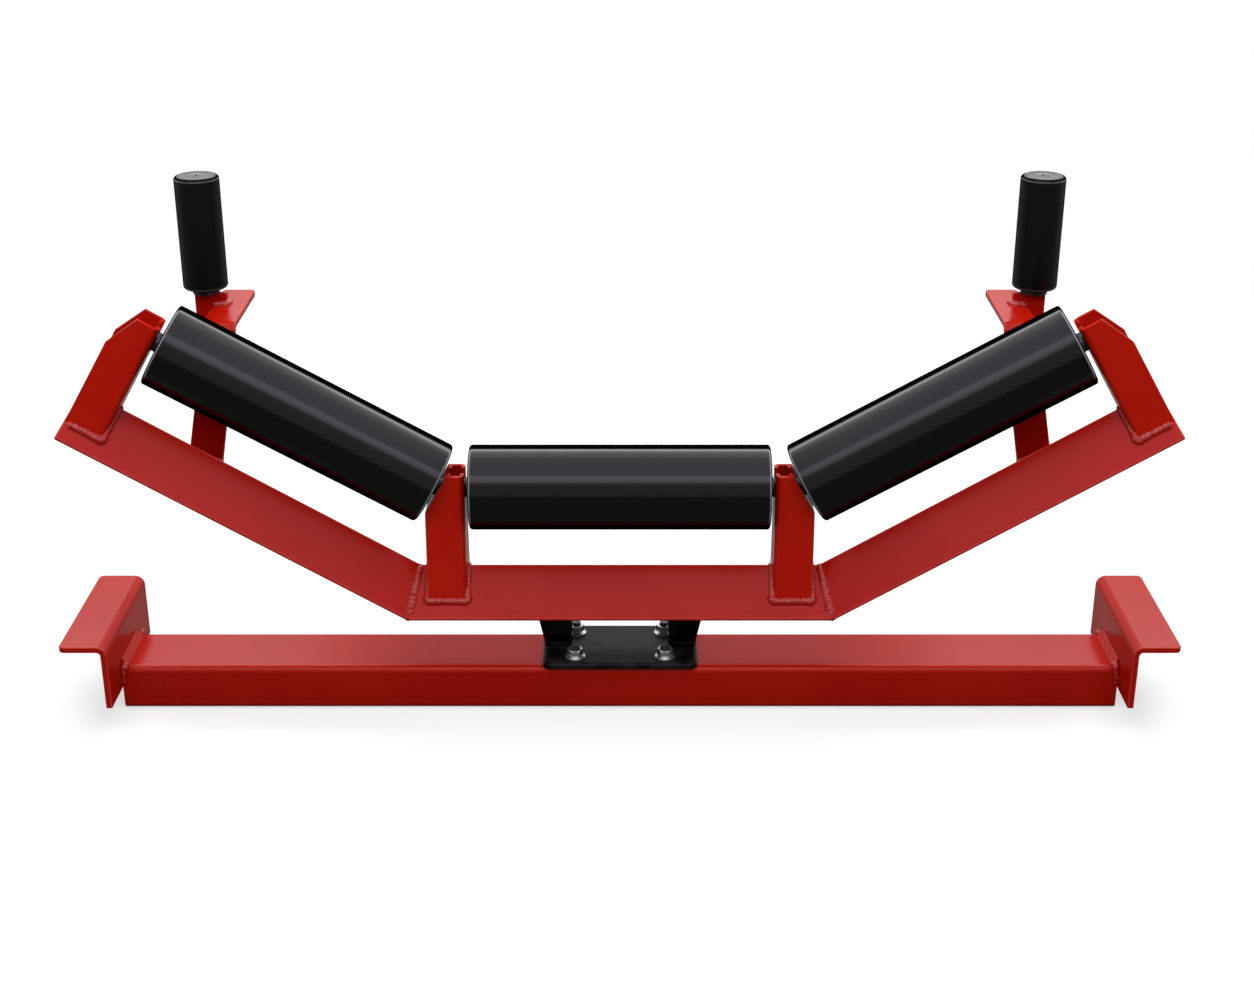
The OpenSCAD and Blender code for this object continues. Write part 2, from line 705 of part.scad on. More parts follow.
// Where the arm crosses the beam, along the wing from the knuckle
arm_mid_z = arm_low + 16;
arm_foot = (arm_x + (arm_top - arm_mid_z) * tan(arm_lean) - knuckle_x) * cos(beam_angle)
           + (arm_mid_z - roll_axis_h) * sin(beam_angle);
gusset_in = 24;                               // where the gussets start on the rear leg of the beam
gusset_gap = 22;                              // spacing of the two gussets

module guide_arm_left() color(red) mirror([1, 0, 0]) guide_arm();
module guide_arm_right() color(red) guide_arm();

post_in = arm_x + arm_w / 2 - 18;
post_drop = 38;

// Upright plate on the edge of the flange
module guide_post() translate([0, guide_y - arm_t / 2, 0]) along_y(arm_t) polygon([
    [post_in, arm_top], [arm_x + arm_w / 2, arm_top], [arm_x + arm_w / 2, arm_top - post_drop],
    [post_in + arm_w, arm_top - post_drop], [post_in + arm_w, post_top], [post_in, post_top]]);

module guide_post_left() color(red) mirror([1, 0, 0]) guide_post();
module guide_post_right() color(red) guide_post();

module guide_welds() color(red) both_sides() for (m = [0, 1])
    translate([post_in, guide_y, arm_top]) mirror([0, m, 0]) translate([0, arm_t / 2, 0])
        fillet(arm_x + arm_w / 2 - post_in - 1, 5);

module at_right_guide() translate([guide_x, guide_y, guide_z]) children();
module at_left_guide() mirror([1, 0, 0]) at_right_guide() children();

guide_clip_z = guide_high_bearing + guide_bearing[2];

module guide_circlip() translate([0, 0, guide_clip_z])
    ring(guide_shaft_d / 2 + 2.5, guide_shaft_d / 2 - 1, circlip_t);

// Shaft with a foot that stands on the post
module guide_shaft() {
    difference() {
        cylinder(d = guide_shaft_d, h = guide_clip_z + 3.5);
        translate([0, 0, guide_clip_z]) ring(guide_shaft_d, guide_shaft_d / 2 - 1, circlip_t);
    }
    translate([0, 0, -1 - guide_foot_t]) cylinder(d = guide_foot_d, h = guide_foot_t);
    translate([0, 0, -1]) cylinder(d = guide_shaft_d + 5, h = guide_low_bearing + 1);
}

module guide_shaft_left() color(steel) at_left_guide() guide_shaft();
module guide_shaft_right() color(steel) at_right_guide() guide_shaft();

module at_guide_bearings() for (z = [guide_low_bearing, guide_high_bearing])
    translate([0, 0, z]) children();

module guide_inner_races() color(steel) {
    at_left_guide() at_guide_bearings() inner_race(guide_bearing);
    at_right_guide() at_guide_bearings() inner_race(guide_bearing);
}

// External circlips: behind each roll bearing and over each upper guide bearing
module shaft_circlips() color(steel) {
    every_roll() both_ends(roll_len) roll_circlip();
    at_left_guide() guide_circlip();
    at_right_guide() guide_circlip();
}

module guide_shell() rotate_extrude() difference() {
    translate([guide_bearing[1] / 2, 0]) square([guide_wall, guide_len]);
    translate([0, guide_len - guide_cap_t]) square([guide_d / 2 - guide_rim, far]);
    for (z = [0, guide_len]) translate([guide_d / 2, z]) difference() {
        square(3, center = true);
        translate([-1.5, z == 0 ? 1.5 : -1.5]) circle(1.5);
    }
}

// Cap let into the top of the shell, with a round rim and a centre dimple
module guide_cap() rotate_extrude() difference() {
    union() {
        translate([0, guide_len - guide_cap_t]) square([guide_d / 2 - guide_rim - 2, guide_cap_t]);
        translate([0, guide_len - guide_cap_t]) square([guide_d / 2 - guide_rim, guide_cap_t - 2]);
        translate([guide_d / 2 - guide_rim - 2, guide_len - 2]) circle(2);
        translate([0, guide_len - guide_cap_t - 4]) square([guide_bearing[1] / 2, 4]);
    }
    translate([0, guide_len]) circle(2);
    translate([-far, 0]) square([far, 2 * far]);
}

module guide_bearings() at_guide_bearings() turning_bearing(guide_bearing);

module guide_seal() translate([0, 0, 2])
    ring(guide_bearing[1] / 2, guide_shaft_d / 2 + 3.5, guide_low_bearing - 3);

// ---------- the object, one line for each sub-part ----------

module roll_left_shell() color(black) at_left_roll() roll_shell();
module roll_left_housings() color(black) at_left_roll() both_ends(roll_len) roll_housing();
module roll_left_bearings() color(steel) at_left_roll() roll_bearing_pair();
module roll_left_seals() color(nylon) at_left_roll() both_ends(roll_len) roll_seal();
module roll_centre_shell() color(black) at_centre_roll() roll_shell();
module roll_centre_housings() color(black) at_centre_roll() both_ends(roll_len) roll_housing();
module roll_centre_bearings() color(steel) at_centre_roll() roll_bearing_pair();
module roll_centre_seals() color(nylon) at_centre_roll() both_ends(roll_len) roll_seal();
module roll_right_shell() color(black) at_right_roll() roll_shell();
module roll_right_housings() color(black) at_right_roll() both_ends(roll_len) roll_housing();
module roll_right_bearings() color(steel) at_right_roll() roll_bearing_pair();
module roll_right_seals() color(nylon) at_right_roll() both_ends(roll_len) roll_seal();
module guide_left_shell() color(black) at_left_guide() guide_shell();
module guide_left_cap() color(nylon) at_left_guide() guide_cap();
module guide_left_bearings() color(steel) at_left_guide() guide_bearings();
module guide_left_seal() color(nylon) at_left_guide() guide_seal();
module guide_right_shell() color(black) at_right_guide() guide_shell();
module guide_right_cap() color(nylon) at_right_guide() guide_cap();
module guide_right_bearings() color(steel) at_right_guide() guide_bearings();
module guide_right_seal() color(nylon) at_right_guide() guide_seal();

cross_tube();
foot_left();
foot_right();
foot_welds();
pivot_pedestal();
pedestal_bolts();
pedestal_nuts();
pivot_bush();
thrust_race_lower();
thrust_balls();
swivel_stop_pins();
beam_centre();
beam_wing_left();
beam_wing_right();
kink_welds();
bracket_outer_left();
bracket_inner_left();
bracket_inner_right();
bracket_outer_right();
bracket_welds();
kingpin();
pivot_saddle();
kingpin_nut();
thrust_race_upper();
roll_shaft_left();
roll_shaft_centre();
roll_shaft_right();
shaft_circlips();
roll_inner_races();
roll_dust_caps();
guide_arm_left();
guide_arm_right();
guide_post_left();
guide_post_right();
guide_welds();
guide_shaft_left();
guide_shaft_right();
guide_inner_races();
roll_left_shell();
roll_left_housings();
roll_left_bearings();
roll_left_seals();
roll_centre_shell();
roll_centre_housings();
roll_centre_bearings();
roll_centre_seals();
roll_right_shell();
roll_right_housings();
roll_right_bearings();
roll_right_seals();
guide_left_shell();
guide_left_cap();
guide_left_bearings();
guide_left_seal();
guide_right_shell();
guide_right_cap();
guide_right_bearings();
guide_right_seal();
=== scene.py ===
import json
import math

import bmesh
import bpy
from mathutils import Matrix, Vector


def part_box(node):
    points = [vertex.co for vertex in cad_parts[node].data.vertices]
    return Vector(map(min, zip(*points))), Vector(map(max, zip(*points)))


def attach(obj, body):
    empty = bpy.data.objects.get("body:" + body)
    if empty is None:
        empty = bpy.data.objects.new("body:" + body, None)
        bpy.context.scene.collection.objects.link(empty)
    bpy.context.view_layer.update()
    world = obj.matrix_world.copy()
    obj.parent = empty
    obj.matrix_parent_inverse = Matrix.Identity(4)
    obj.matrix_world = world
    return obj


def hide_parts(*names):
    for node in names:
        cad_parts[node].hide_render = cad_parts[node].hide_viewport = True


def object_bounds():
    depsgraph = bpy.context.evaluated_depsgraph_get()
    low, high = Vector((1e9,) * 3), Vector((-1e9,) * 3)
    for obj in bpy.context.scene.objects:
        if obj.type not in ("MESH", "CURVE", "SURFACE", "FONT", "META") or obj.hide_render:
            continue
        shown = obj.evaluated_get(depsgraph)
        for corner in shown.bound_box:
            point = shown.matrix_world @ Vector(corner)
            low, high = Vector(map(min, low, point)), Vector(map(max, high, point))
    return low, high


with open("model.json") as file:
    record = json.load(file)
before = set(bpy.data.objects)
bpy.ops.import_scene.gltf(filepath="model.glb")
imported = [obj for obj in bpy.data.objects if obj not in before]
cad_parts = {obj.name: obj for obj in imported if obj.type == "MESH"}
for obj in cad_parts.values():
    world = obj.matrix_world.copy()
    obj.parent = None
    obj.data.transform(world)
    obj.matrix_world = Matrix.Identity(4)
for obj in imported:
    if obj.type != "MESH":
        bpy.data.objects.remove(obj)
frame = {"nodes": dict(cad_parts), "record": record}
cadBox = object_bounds()
cadNodes = frame["nodes"]
bodyOf = {n: body for body, members in frame["record"]["behaviour"]["bodies"].items() for n in members}
slotOf = {s["node"]: s["material_slot"] for s in frame["record"]["subparts"]}
joints = {j["name"]: j for j in frame["record"]["behaviour"]["joints"]}


class Wire:
    # a node socket that can be used in sums; make() adds any other node
    def __init__(self, tree, socket=None):
        self.tree, self.socket = tree, socket

    def make(self, kind, settings=None, values=None, out=0):
        node = self.tree.nodes.new(kind)
        for key, value in (settings or {}).items():
            setattr(node, key, value)
        for key, value in (values or {}).items():
            if isinstance(value, Wire):
                self.tree.links.new(value.socket, node.inputs[key])
            else:
                node.inputs[key].default_value = value
        return Wire(self.tree, node.outputs[out] if len(node.outputs) else None)

    def side(self, name):  # another output of the same node
        return Wire(self.tree, self.socket.node.outputs[name])

    def sum(self, operation, *terms):
        return self.make("ShaderNodeMath", {"operation": operation}, dict(enumerate(terms)))

    def __add__(self, other):
        return self.sum("ADD", self, other)

    def __sub__(self, other):
        return self.sum("SUBTRACT", self, other)

    def __rsub__(self, other):
        return self.sum("SUBTRACT", other, self)

    def __mul__(self, other):
        return self.sum("MULTIPLY", self, other)

    def __truediv__(self, other):
        return self.sum("DIVIDE", self, other)

    def __rtruediv__(self, other):
        return self.sum("DIVIDE", other, self)

    def __pow__(self, other):
        return self.sum("POWER", self, other)

    def __rpow__(self, other):
        return self.sum("POWER", other, self)

    __radd__ = __add__
    __rmul__ = __mul__


# finishes: paint, metal and plastic as shaders, all in object coordinates

def grey(value):
    return (value, value, value, 1.0)


def blendColours(wire, factor, first, second):
    # RGBA sockets of the Mix node are numbers 6 and 7, and its colour output is number 2
    return wire.make("ShaderNodeMix", {"data_type": "RGBA"}, {0: factor, 6: first, 7: second}, out=2)


def noise(wire, place, scale, detail=3.0, roughness=0.55, distortion=0.0):
    return wire.make("ShaderNodeTexNoise", {}, {"Vector": place, "Scale": scale, "Detail": detail,
                                                "Roughness": roughness, "Distortion": distortion})


def fade(wire, value, low, high):  # 0 below low, 1 above high
    return wire.make("ShaderNodeMapRange", {"interpolation_type": "SMOOTHSTEP"},
                     {"Value": value, "From Min": low, "From Max": high})


def stretched(wire, place, scale):
    return wire.make("ShaderNodeMapping", {}, {"Vector": place, "Scale": scale})


def alongAxis(wire, vector, axis):
    return wire.make("ShaderNodeVectorMath", {"operation": "DOT_PRODUCT"}, {0: vector, 1: axis}, out="Value")


def bump(wire, height, depth, strength=1.0, under=None):
    values = {"Height": height, "Distance": depth, "Strength": strength}
    if under:
        values["Normal"] = under
    return wire.make("ShaderNodeBump", {}, values)


def newFinish(name):
    material = bpy.data.materials.new(name)
    material.use_nodes = True
    material.node_tree.nodes.clear()
    wire = Wire(material.node_tree)
    return material, wire, wire.make("ShaderNodeTexCoord", out="Object")


def closeFinish(wire, surface):
    wire.make("ShaderNodeOutputMaterial", {}, {"Surface": surface})


def principled(wire, values):
    return wire.make("ShaderNodeBsdfPrincipled", {}, values)


# the edge colour is a painted highlight, a lighter red along the rounded edges
enamelLook = {
    "colour": (0.358, 0.0055, 0.0005, 1), "thin": (0.385, 0.0072, 0.0009, 1), "dust": (0.42, 0.16, 0.13, 1),
    "edge": (0.60, 0.050, 0.036, 1), "edgeHighlightShare": 0.62, "edgeHighlightLeast": 0.55, "gloss": 0.20, "specular": 0.10,
    "cloudScale": 7.0, "dustScale": 900.0, "dustShare": 0.04, "hazeShare": 0.006, "dustGloss": 0.6,
    "smearScale": 24.0, "smearGloss": 0.035, "peelScale": 320.0, "peelDepth": 0.00004,
    "runScale": 42.0, "runStretch": (1.0, 1.0, 0.28), "runDepth": 0.00006,
    "gritScale": 620.0, "gritDepth": 0.0009, "weldPeel": 5, "weldSpecular": 3.6, "weldPolish": 0.04}
# painted light: a lighter copy of the red enamel, so that the brackets look more brightly lit than the rest of the
# frame
litBracketLook = dict(enamelLook, colour=(0.44, 0.0072, 0.0007, 1), thin=(0.47, 0.0092, 0.0012, 1))


def redEnamel(name, welded=0.0, look=enamelLook):
    # welded is 1 for paint over a weld bead, which is rougher underneath and shinier on top
    material, wire, place = newFinish(name)
    cloud = noise(wire, place, look["cloudScale"], 4.0)
    speck = noise(wire, place, look["dustScale"], 2.0)
    peel = noise(wire, place, look["peelScale"], 2.0, 0.4)
    run = noise(wire, stretched(wire, place, look["runStretch"]), look["runScale"], 2.0)
    smear = noise(wire, place, look["smearScale"], 5.0, 0.62, 1.2)
    colour = blendColours(wire, fade(wire, cloud, 0.36, 0.66), look["colour"], look["thin"])
    dusty = fade(wire, speck, 0.70, 0.82) * look["dustShare"] + fade(wire, cloud, 0.5, 0.9) * look["hazeShare"]
    colour = blendColours(wire, dusty, colour, look["dust"])
    # painted highlight: the faces that the rounding added take the lighter edge colour, in patches
    edge = wire.make("ShaderNodeAttribute", {"attribute_name": "edgeHighlight"}, out="Fac")
    patchy = look["edgeHighlightLeast"] + (1 - look["edgeHighlightLeast"]) * fade(wire, smear, 0.35, 0.65)
    colour = blendColours(wire, edge * (look["edgeHighlightShare"] * patchy), colour, look["edge"])
    shine = look["gloss"] + fade(wire, smear, 0.30, 0.85) * look["smearGloss"] + dusty * look["dustGloss"]
    normal = bump(wire, run, look["runDepth"], 0.25)
    normal = bump(wire, peel, look["peelDepth"] * (1 + look["weldPeel"] * welded), 0.5, normal)
    if welded:
        grit = noise(wire, place, look["gritScale"], 3.0, 0.6)
        normal = bump(wire, grit, look["gritDepth"], 0.8, normal)
    closeFinish(wire, principled(wire, {
        "Base Color": colour, "Roughness": shine - look["weldPolish"] * welded, "Normal": normal,
        "Specular IOR Level": look["specular"] * (1 + look["weldSpecular"] * welded)}))
    return material


# the rims' lighter colour is a painted highlight; the dark colour is painted shade, at low angles and where the rims
# turn to the ends
rollLook = {
    "colour": (0.0011, 0.0011, 0.0013, 1), "worn": (0.0034, 0.0034, 0.0040, 1), "rimHighlight": (0.20, 0.20, 0.21, 1),
    "dark": (0.0008, 0.0008, 0.0009, 1), "gloss": 0.19, "specular": 0.17, "lineScale": 1400.0, "lineDepth": 0.00002,
    "bandScale": 60.0, "smearScale": 26.0, "grainScale": 620.0, "grainDepth": 0.00003, "speckScale": 1500.0,
    "smearShare": 0.35, "bandShare": 0.25, "speckShare": 0.4, "wornGloss": 0.06, "lineGloss": 0.05,
    "rimHighlightStart": (0.04, 0.14), "rimEndShade": (0.48, 0.66), "grazingShade": (0.50, 0.58)}
guideLook = dict(rollLook, specular=0.15, gloss=0.30, rimHighlight=(0.05, 0.05, 0.053, 1), grazingShade=(0.66, 0.76))


def blackRoll(name, axis, look=rollLook):
    # fine turned lines lie round the roll, square to its axis
    material, wire, place = newFinish(name)
    along = alongAxis(wire, place, axis)
    lines = wire.make("ShaderNodeTexNoise", {"noise_dimensions": "1D"},
                      {"W": along, "Scale": look["lineScale"], "Detail": 3.0, "Roughness": 0.6})
    bands = wire.make("ShaderNodeTexNoise", {"noise_dimensions": "1D"},
                      {"W": along, "Scale": look["bandScale"], "Detail": 4.0, "Roughness": 0.65})
    smear = noise(wire, place, look["smearScale"], 5.0, 0.6, 0.8)
    grain = noise(wire, place, look["grainScale"], 2.0)
    speck = noise(wire, place, look["speckScale"], 1.0)
    worn = fade(wire, smear, 0.50, 0.78) * look["smearShare"] + fade(wire, bands, 0.56, 0.80) * look["bandShare"]
    worn = worn + fade(wire, speck, 0.72, 0.80) * look["speckShare"]
    colour = blendColours(wire, worn, look["colour"], look["worn"])
    # the rounded rims carry a painted highlight where they start, and painted shade where they turn to the end of the
    # roll
    lean = wire.sum("ABSOLUTE", alongAxis(wire, place.side("Normal"), axis))
    endShade = fade(wire, lean, *look["rimEndShade"])
    colour = blendColours(wire, fade(wire, lean, *look["rimHighlightStart"]) * (1.0 - endShade), colour, look["rimHighlight"])
    shine = look["gloss"] + worn * look["wornGloss"] + (lines - 0.5) * look["lineGloss"]
    normal = bump(wire, lines, look["lineDepth"], 0.4)
    normal = bump(wire, grain, look["grainDepth"], 0.3, normal)
    coat = principled(wire, {"Base Color": colour, "Roughness": shine, "Normal": normal,
                             "Specular IOR Level": look["specular"]})
    # painted shade: where the coat is seen at a low angle, and where the rims turn to the ends, a dark matt shader
    # takes its place
    facing = wire.make("ShaderNodeLayerWeight", {}, {"Blend": 0.5}, out="Facing")
    grazingShade = fade(wire, facing, *look["grazingShade"])
    paintedShade = wire.make("ShaderNodeBsdfDiffuse", {}, {"Color": look["dark"]})
    closeFinish(wire, wire.make("ShaderNodeMixShader", {}, {0: wire.sum("MAXIMUM", grazingShade, endShade), 1: coat, 2: paintedShade}))
    return material


castLook = {
    "colour": (0.0018, 0.0018, 0.0020, 1), "high": (0.0120, 0.0104, 0.0098, 1), "gloss": 0.43, "specular": 0.06,
    "sandScale": 420.0, "sandDepth": 0.00016, "sandGloss": 0.3, "blotchScale": 27.0, "blotchGloss": 0.5,
    "waveScale": 38.0, "waveDepth": 0.0006, "pitScale": 260.0, "pitDepth": 0.00012}


def castPaint(name, look=castLook):
    material, wire, place = newFinish(name)
    sand = noise(wire, place, look["sandScale"], 4.0, 0.6)
    wave = noise(wire, place, look["waveScale"], 3.0)
    pit = wire.make("ShaderNodeTexVoronoi", {}, {"Vector": place, "Scale": look["pitScale"]})
    blotch = noise(wire, place, look["blotchScale"], 3.0, 0.5, 0.9)
    colour = blendColours(wire, fade(wire, blotch * 0.8 + sand * 0.2, 0.42, 0.60), look["colour"], look["high"])
    shine = look["gloss"] + (sand - 0.5) * look["sandGloss"] + (blotch - 0.5) * look["blotchGloss"]
    normal = bump(wire, wave, look["waveDepth"], 0.35)
    normal = bump(wire, sand, look["sandDepth"], 0.5, normal)
    normal = bump(wire, fade(wire, pit, 0.0, 0.25), look["pitDepth"], 0.3, normal)
    closeFinish(wire, principled(wire, {"Base Color": colour, "Roughness": shine, "Normal": normal,
                                        "Specular IOR Level": look["specular"]}))
    return material


metalLook = {
    "spangleScale": 420.0, "spangleGloss": 0.08, "tintShare": 0.25, "stainScale": 120.0, "stainShare": 0.6,
    "stainGloss": 0.18, "scratchScale": 300.0, "scratchStretch": (1.0, 1.0, 18.0), "scratchDepth": 0.00004,
    "turnedDepth": 0.00006}


def bareMetal(name, colour, dark, gloss, turnedShare=0.0, tint=None, look=metalLook):
    material, wire, place = newFinish(name)
    spangle = wire.make("ShaderNodeTexVoronoi", {"feature": "SMOOTH_F1"},
                        {"Vector": place, "Scale": look["spangleScale"], "Smoothness": 0.4, "Randomness": 1.0},
                        out="Color")
    cell = wire.make("ShaderNodeSeparateColor", {}, {"Color": spangle}, out="Red")
    stain = noise(wire, place, look["stainScale"], 5.0, 0.6, 0.6)
    scratch = noise(wire, stretched(wire, place, look["scratchStretch"]), look["scratchScale"], 2.0)
    colours = blendColours(wire, fade(wire, stain, 0.45, 0.75) * look["stainShare"], colour, dark)
    if tint:
        colours = blendColours(wire, cell * look["tintShare"], colours, tint)
    shine = gloss + (cell - 0.5) * look["spangleGloss"] + fade(wire, stain, 0.5, 0.8) * look["stainGloss"]
    normal = bump(wire, scratch, look["scratchDepth"] + look["turnedDepth"] * turnedShare, 0.4)
    closeFinish(wire, principled(wire, {"Base Color": colours, "Roughness": shine, "Metallic": 1.0,
                                        "Normal": normal}))
    return material


plasticLook = {"grainScale": 1600.0, "grainDepth": 0.00006, "flowScale": 55.0, "flowGloss": 0.16}


def mouldedPlastic(name, colour, high, gloss, specular=0.3, look=plasticLook):
    material, wire, place = newFinish(name)
    grain = noise(wire, place, look["grainScale"], 2.0)
    flow = noise(wire, place, look["flowScale"], 3.0, 0.5, 0.7)
    colours = blendColours(wire, fade(wire, flow, 0.40, 0.70), colour, high)
    closeFinish(wire, principled(wire, {
        "Base Color": colours, "Roughness": gloss + (flow - 0.5) * look["flowGloss"],
        "Normal": bump(wire, grain, look["grainDepth"], 0.5), "Specular IOR Level": specular}))
    return material


def axisOf(jointName):
    return tuple(joints[jointName]["axis"])


finishes = {
    "red_paint": redEnamel("redEnamel"),
    "weldedPaint": redEnamel("redEnamelOverWeld", welded=1.0),
    # the brackets' lighter enamel is painted light
    "litBracketPaint": redEnamel("redEnamelBracketsLit", look=litBracketLook),
    "cast_black": castPaint("paintedCasting"),
    "zinc_steel": bareMetal("brightZinc", (0.42, 0.42, 0.42, 1), (0.24, 0.25, 0.26, 1), 0.31,
                            tint=(0.50, 0.49, 0.46, 1)),
    "bright_steel": bareMetal("turnedSteel", (0.20, 0.20, 0.205, 1), (0.075, 0.075, 0.080, 1), 0.30, 1.0),
    "darkThread": bareMetal("oiledThread", (0.035, 0.035, 0.038, 1), (0.012, 0.012, 0.013, 1), 0.36),
    "bearing_steel": bareMetal("groundSteel", (0.58, 0.58, 0.60, 1), (0.36, 0.36, 0.38, 1), 0.18),
    "bronze": bareMetal("machinedBronze", (0.62, 0.42, 0.20, 1), (0.34, 0.22, 0.11, 1), 0.28, 1.0),
    "black_nylon": mouldedPlastic("blackNylon", (0.008, 0.008, 0.009, 1), (0.014, 0.014, 0.016, 1), 0.42),
    "dark_cap": mouldedPlastic("darkCap", (0.018, 0.018, 0.019, 1), (0.028, 0.028, 0.030, 1), 0.33, 0.13),
    "rollLeft": blackRoll("blackRollLeft", axisOf("roll_left_spin")),
    "rollCentre": blackRoll("blackRollCentre", axisOf("roll_centre_spin")),
    "rollRight": blackRoll("blackRollRight", axisOf("roll_right_spin")),
    "rollGuide": blackRoll("blackGuideRoller", axisOf("guide_left_spin"), guideLook),
}
finishes["black_paint"] = finishes["rollCentre"]
# nodes that take another finish than that of their material slot
special = {
    "guide_shaft_left": "darkThread", "guide_shaft_right": "darkThread",
    "roll_shaft_left": "darkThread", "roll_shaft_centre": "darkThread", "roll_shaft_right": "darkThread",
    "bracket_outer_left": "litBracketPaint", "bracket_inner_left": "litBracketPaint",
    "bracket_inner_right": "litBracketPaint", "bracket_outer_right": "litBracketPaint"}
print("finishes ready:", len(finishes))


# what every piece goes through

merging = {"cadGap": 2e-6, "grownGap": 1e-6, "flatAngle": 0.4}
softening = {"segments": 3, "from": 32.0, "sharpFrom": 28.0, "normalWeight": 60, "flatCosine": 0.9998}


def finishPiece(piece, body, slot, finish, *stoodFor):
    piece.data.materials.clear()
    piece.data.materials.append(finish)
    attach(piece, body)
    if stoodFor:
        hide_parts(*stoodFor)


def finishOf(node):
    return finishes[special.get(node, slotOf[node])]


def pieceFromMesh(name, mesh):
    piece = bpy.data.objects.new(name, mesh)
    bpy.context.scene.collection.objects.link(piece)
    return piece


def meshFromWork(name, work):
    mesh = bpy.data.meshes.new(name)
    work.to_mesh(mesh)
    work.free()
    return mesh


def frozen(piece):
    # the piece's mesh with its modifiers applied, on a plain object of the same name
    bpy.context.view_layer.update()
    graph = bpy.context.evaluated_depsgraph_get()
    mesh = bpy.data.meshes.new_from_object(piece.evaluated_get(graph))
    name = piece.name
    bpy.data.objects.remove(piece)
    return pieceFromMesh(name, mesh)


def smoothed(piece, angle=30.0):
    piece.data.polygons.foreach_set("use_smooth", [True] * len(piece.data.polygons))
    piece.data.set_sharp_from_angle(angle=math.radians(angle))
    return piece


def evenNormals(piece):
    # large faces keep their own direction, so that they shade evenly up to a rounding
    weigh = piece.modifiers.new("weigh", "WEIGHTED_NORMAL")
    weigh.keep_sharp, weigh.weight = True, softening["normalWeight"]
    return frozen(piece)


def facedOutwards(piece):
    work = bmesh.new()
    work.from_mesh(piece.data)
    bmesh.ops.remove_doubles(work, verts=work.verts, dist=merging["grownGap"])
    bmesh.ops.recalc_face_normals(work, faces=work.faces)
    work.to_mesh(piece.data)
    work.free()
    return piece


def mergedCopy(node):
    # a CAD node's loose triangles joined into flat faces
    work = bmesh.new()
    work.from_mesh(cadNodes[node].data)
    bmesh.ops.remove_doubles(work, verts=work.verts, dist=merging["cadGap"])
    flat = math.radians(merging["flatAngle"])
    bmesh.ops.dissolve_limit(work, angle_limit=flat, verts=work.verts, edges=work.edges)
    return meshFromWork(node + "Merged", work)


def markEdges(mesh, flats):
    # the mask for the painted highlight along edges: 1 on the faces that the rounding added, and 0 on the flats
    worn = [0.0 if max(face.normal.dot(flat) for flat in flats) > softening["flatCosine"] else 1.0
            for face in mesh.polygons]
    mesh.attributes.new("edgeHighlight", "FLOAT", "FACE").data.foreach_set("value", worn)


def softenEdges(node, width, mesh=None):
    # the node again with its sharp edges rounded, as paint and grinding leave them
    mesh = mesh or mergedCopy(node)
    flats = {tuple(round(part, 4) for part in face.normal) for face in mesh.polygons}
    flats = [Vector(flat).normalized() for flat in flats]
    piece = pieceFromMesh(node + "Softened", mesh)
    bevel = piece.modifiers.new("round", "BEVEL")
    bevel.width, bevel.segments, bevel.limit_method = width, softening["segments"], "ANGLE"
    bevel.angle_limit, bevel.use_clamp_overlap = math.radians(softening["from"]), True
    bevel.miter_outer = "MITER_ARC"
    piece = evenNormals(smoothed(frozen(piece), softening["sharpFrom"]))
    markEdges(piece.data, flats)
    finishPiece(piece, bodyOf[node], slotOf[node], finishOf(node), node)


def startTree(name, labels):
    # a geometry tree with named inputs: its first wire, and the inputs by name
    tree = bpy.data.node_groups.new(name, "GeometryNodeTree")
    for label, kind in labels.items():
        tree.interface.new_socket(label, in_out="INPUT", socket_type="NodeSocket" + kind)
    tree.interface.new_socket("Geometry", in_out="OUTPUT", socket_type="NodeSocketGeometry")
    start = Wire(tree).make("NodeGroupInput")
    return start, {label: start.side(label) for label in labels}


def closeTree(wire, geometry, material):
    whole = wire.make("GeometryNodeRealizeInstances", {}, {"Geometry": geometry})
    whole = wire.make("GeometryNodeSetMaterial", {}, {"Geometry": whole, "Material": material})
    wire.make("NodeGroupOutput", {}, {"Geometry": whole})
    return wire.tree


def grow(name, tree, values, seed=None):
    # the tree's result as a plain piece, its modifier gone
    piece = pieceFromMesh(name, seed or bpy.data.meshes.new(name + "Seed"))
    growth = piece.modifiers.new("grow", "NODES")
    growth.node_group = tree
    for socket in tree.interface.items_tree:
        if socket.in_out == "INPUT" and socket.name in values:
            growth[socket.identifier] = values[socket.name]
    return facedOutwards(frozen(piece))


# how far each node's sharp edges are rounded
edges = {
    "cross_tube": 0.0005, "foot_left": 0.0014, "foot_right": 0.0014,
    "beam_centre": 0.0020, "beam_wing_left": 0.0020, "beam_wing_right": 0.0020,
    "bracket_outer_left": 0.0009, "bracket_inner_left": 0.0009,
    "bracket_inner_right": 0.0009, "bracket_outer_right": 0.0009,
    "guide_arm_left": 0.0012, "guide_arm_right": 0.0012,
    "guide_post_left": 0.0012, "guide_post_right": 0.0012, "pivot_saddle": 0.0010,
    "pedestal_nuts": 0.0005, "roll_shaft_left": 0.0006, "roll_shaft_centre": 0.0006, "roll_shaft_right": 0.0006}
for node, width in edges.items():
    softenEdges(node, width)
print("edges softened:", len(edges))


# roll and guide shells: a rounded section swept round a circle

shellShape = {"innerEdge": 0.0010, "sides": 120, "edgeSteps": 6}
shells = {
    "roll_left_shell": {"joint": "roll_left_spin", "finish": "rollLeft", "wall": 0.004, "edge": 0.0034},
    "roll_centre_shell": {"joint": "roll_centre_spin", "finish": "rollCentre", "wall": 0.004, "edge": 0.0034},
    "roll_right_shell": {"joint": "roll_right_spin", "finish": "rollRight", "wall": 0.004, "edge": 0.0034},
    "guide_left_shell": {"joint": "guide_left_spin", "finish": "rollGuide", "wall": 0.005, "edge": 0.0042},
    "guide_right_shell": {"joint": "guide_right_spin", "finish": "rollGuide", "wall": 0.005, "edge": 0.0042}}


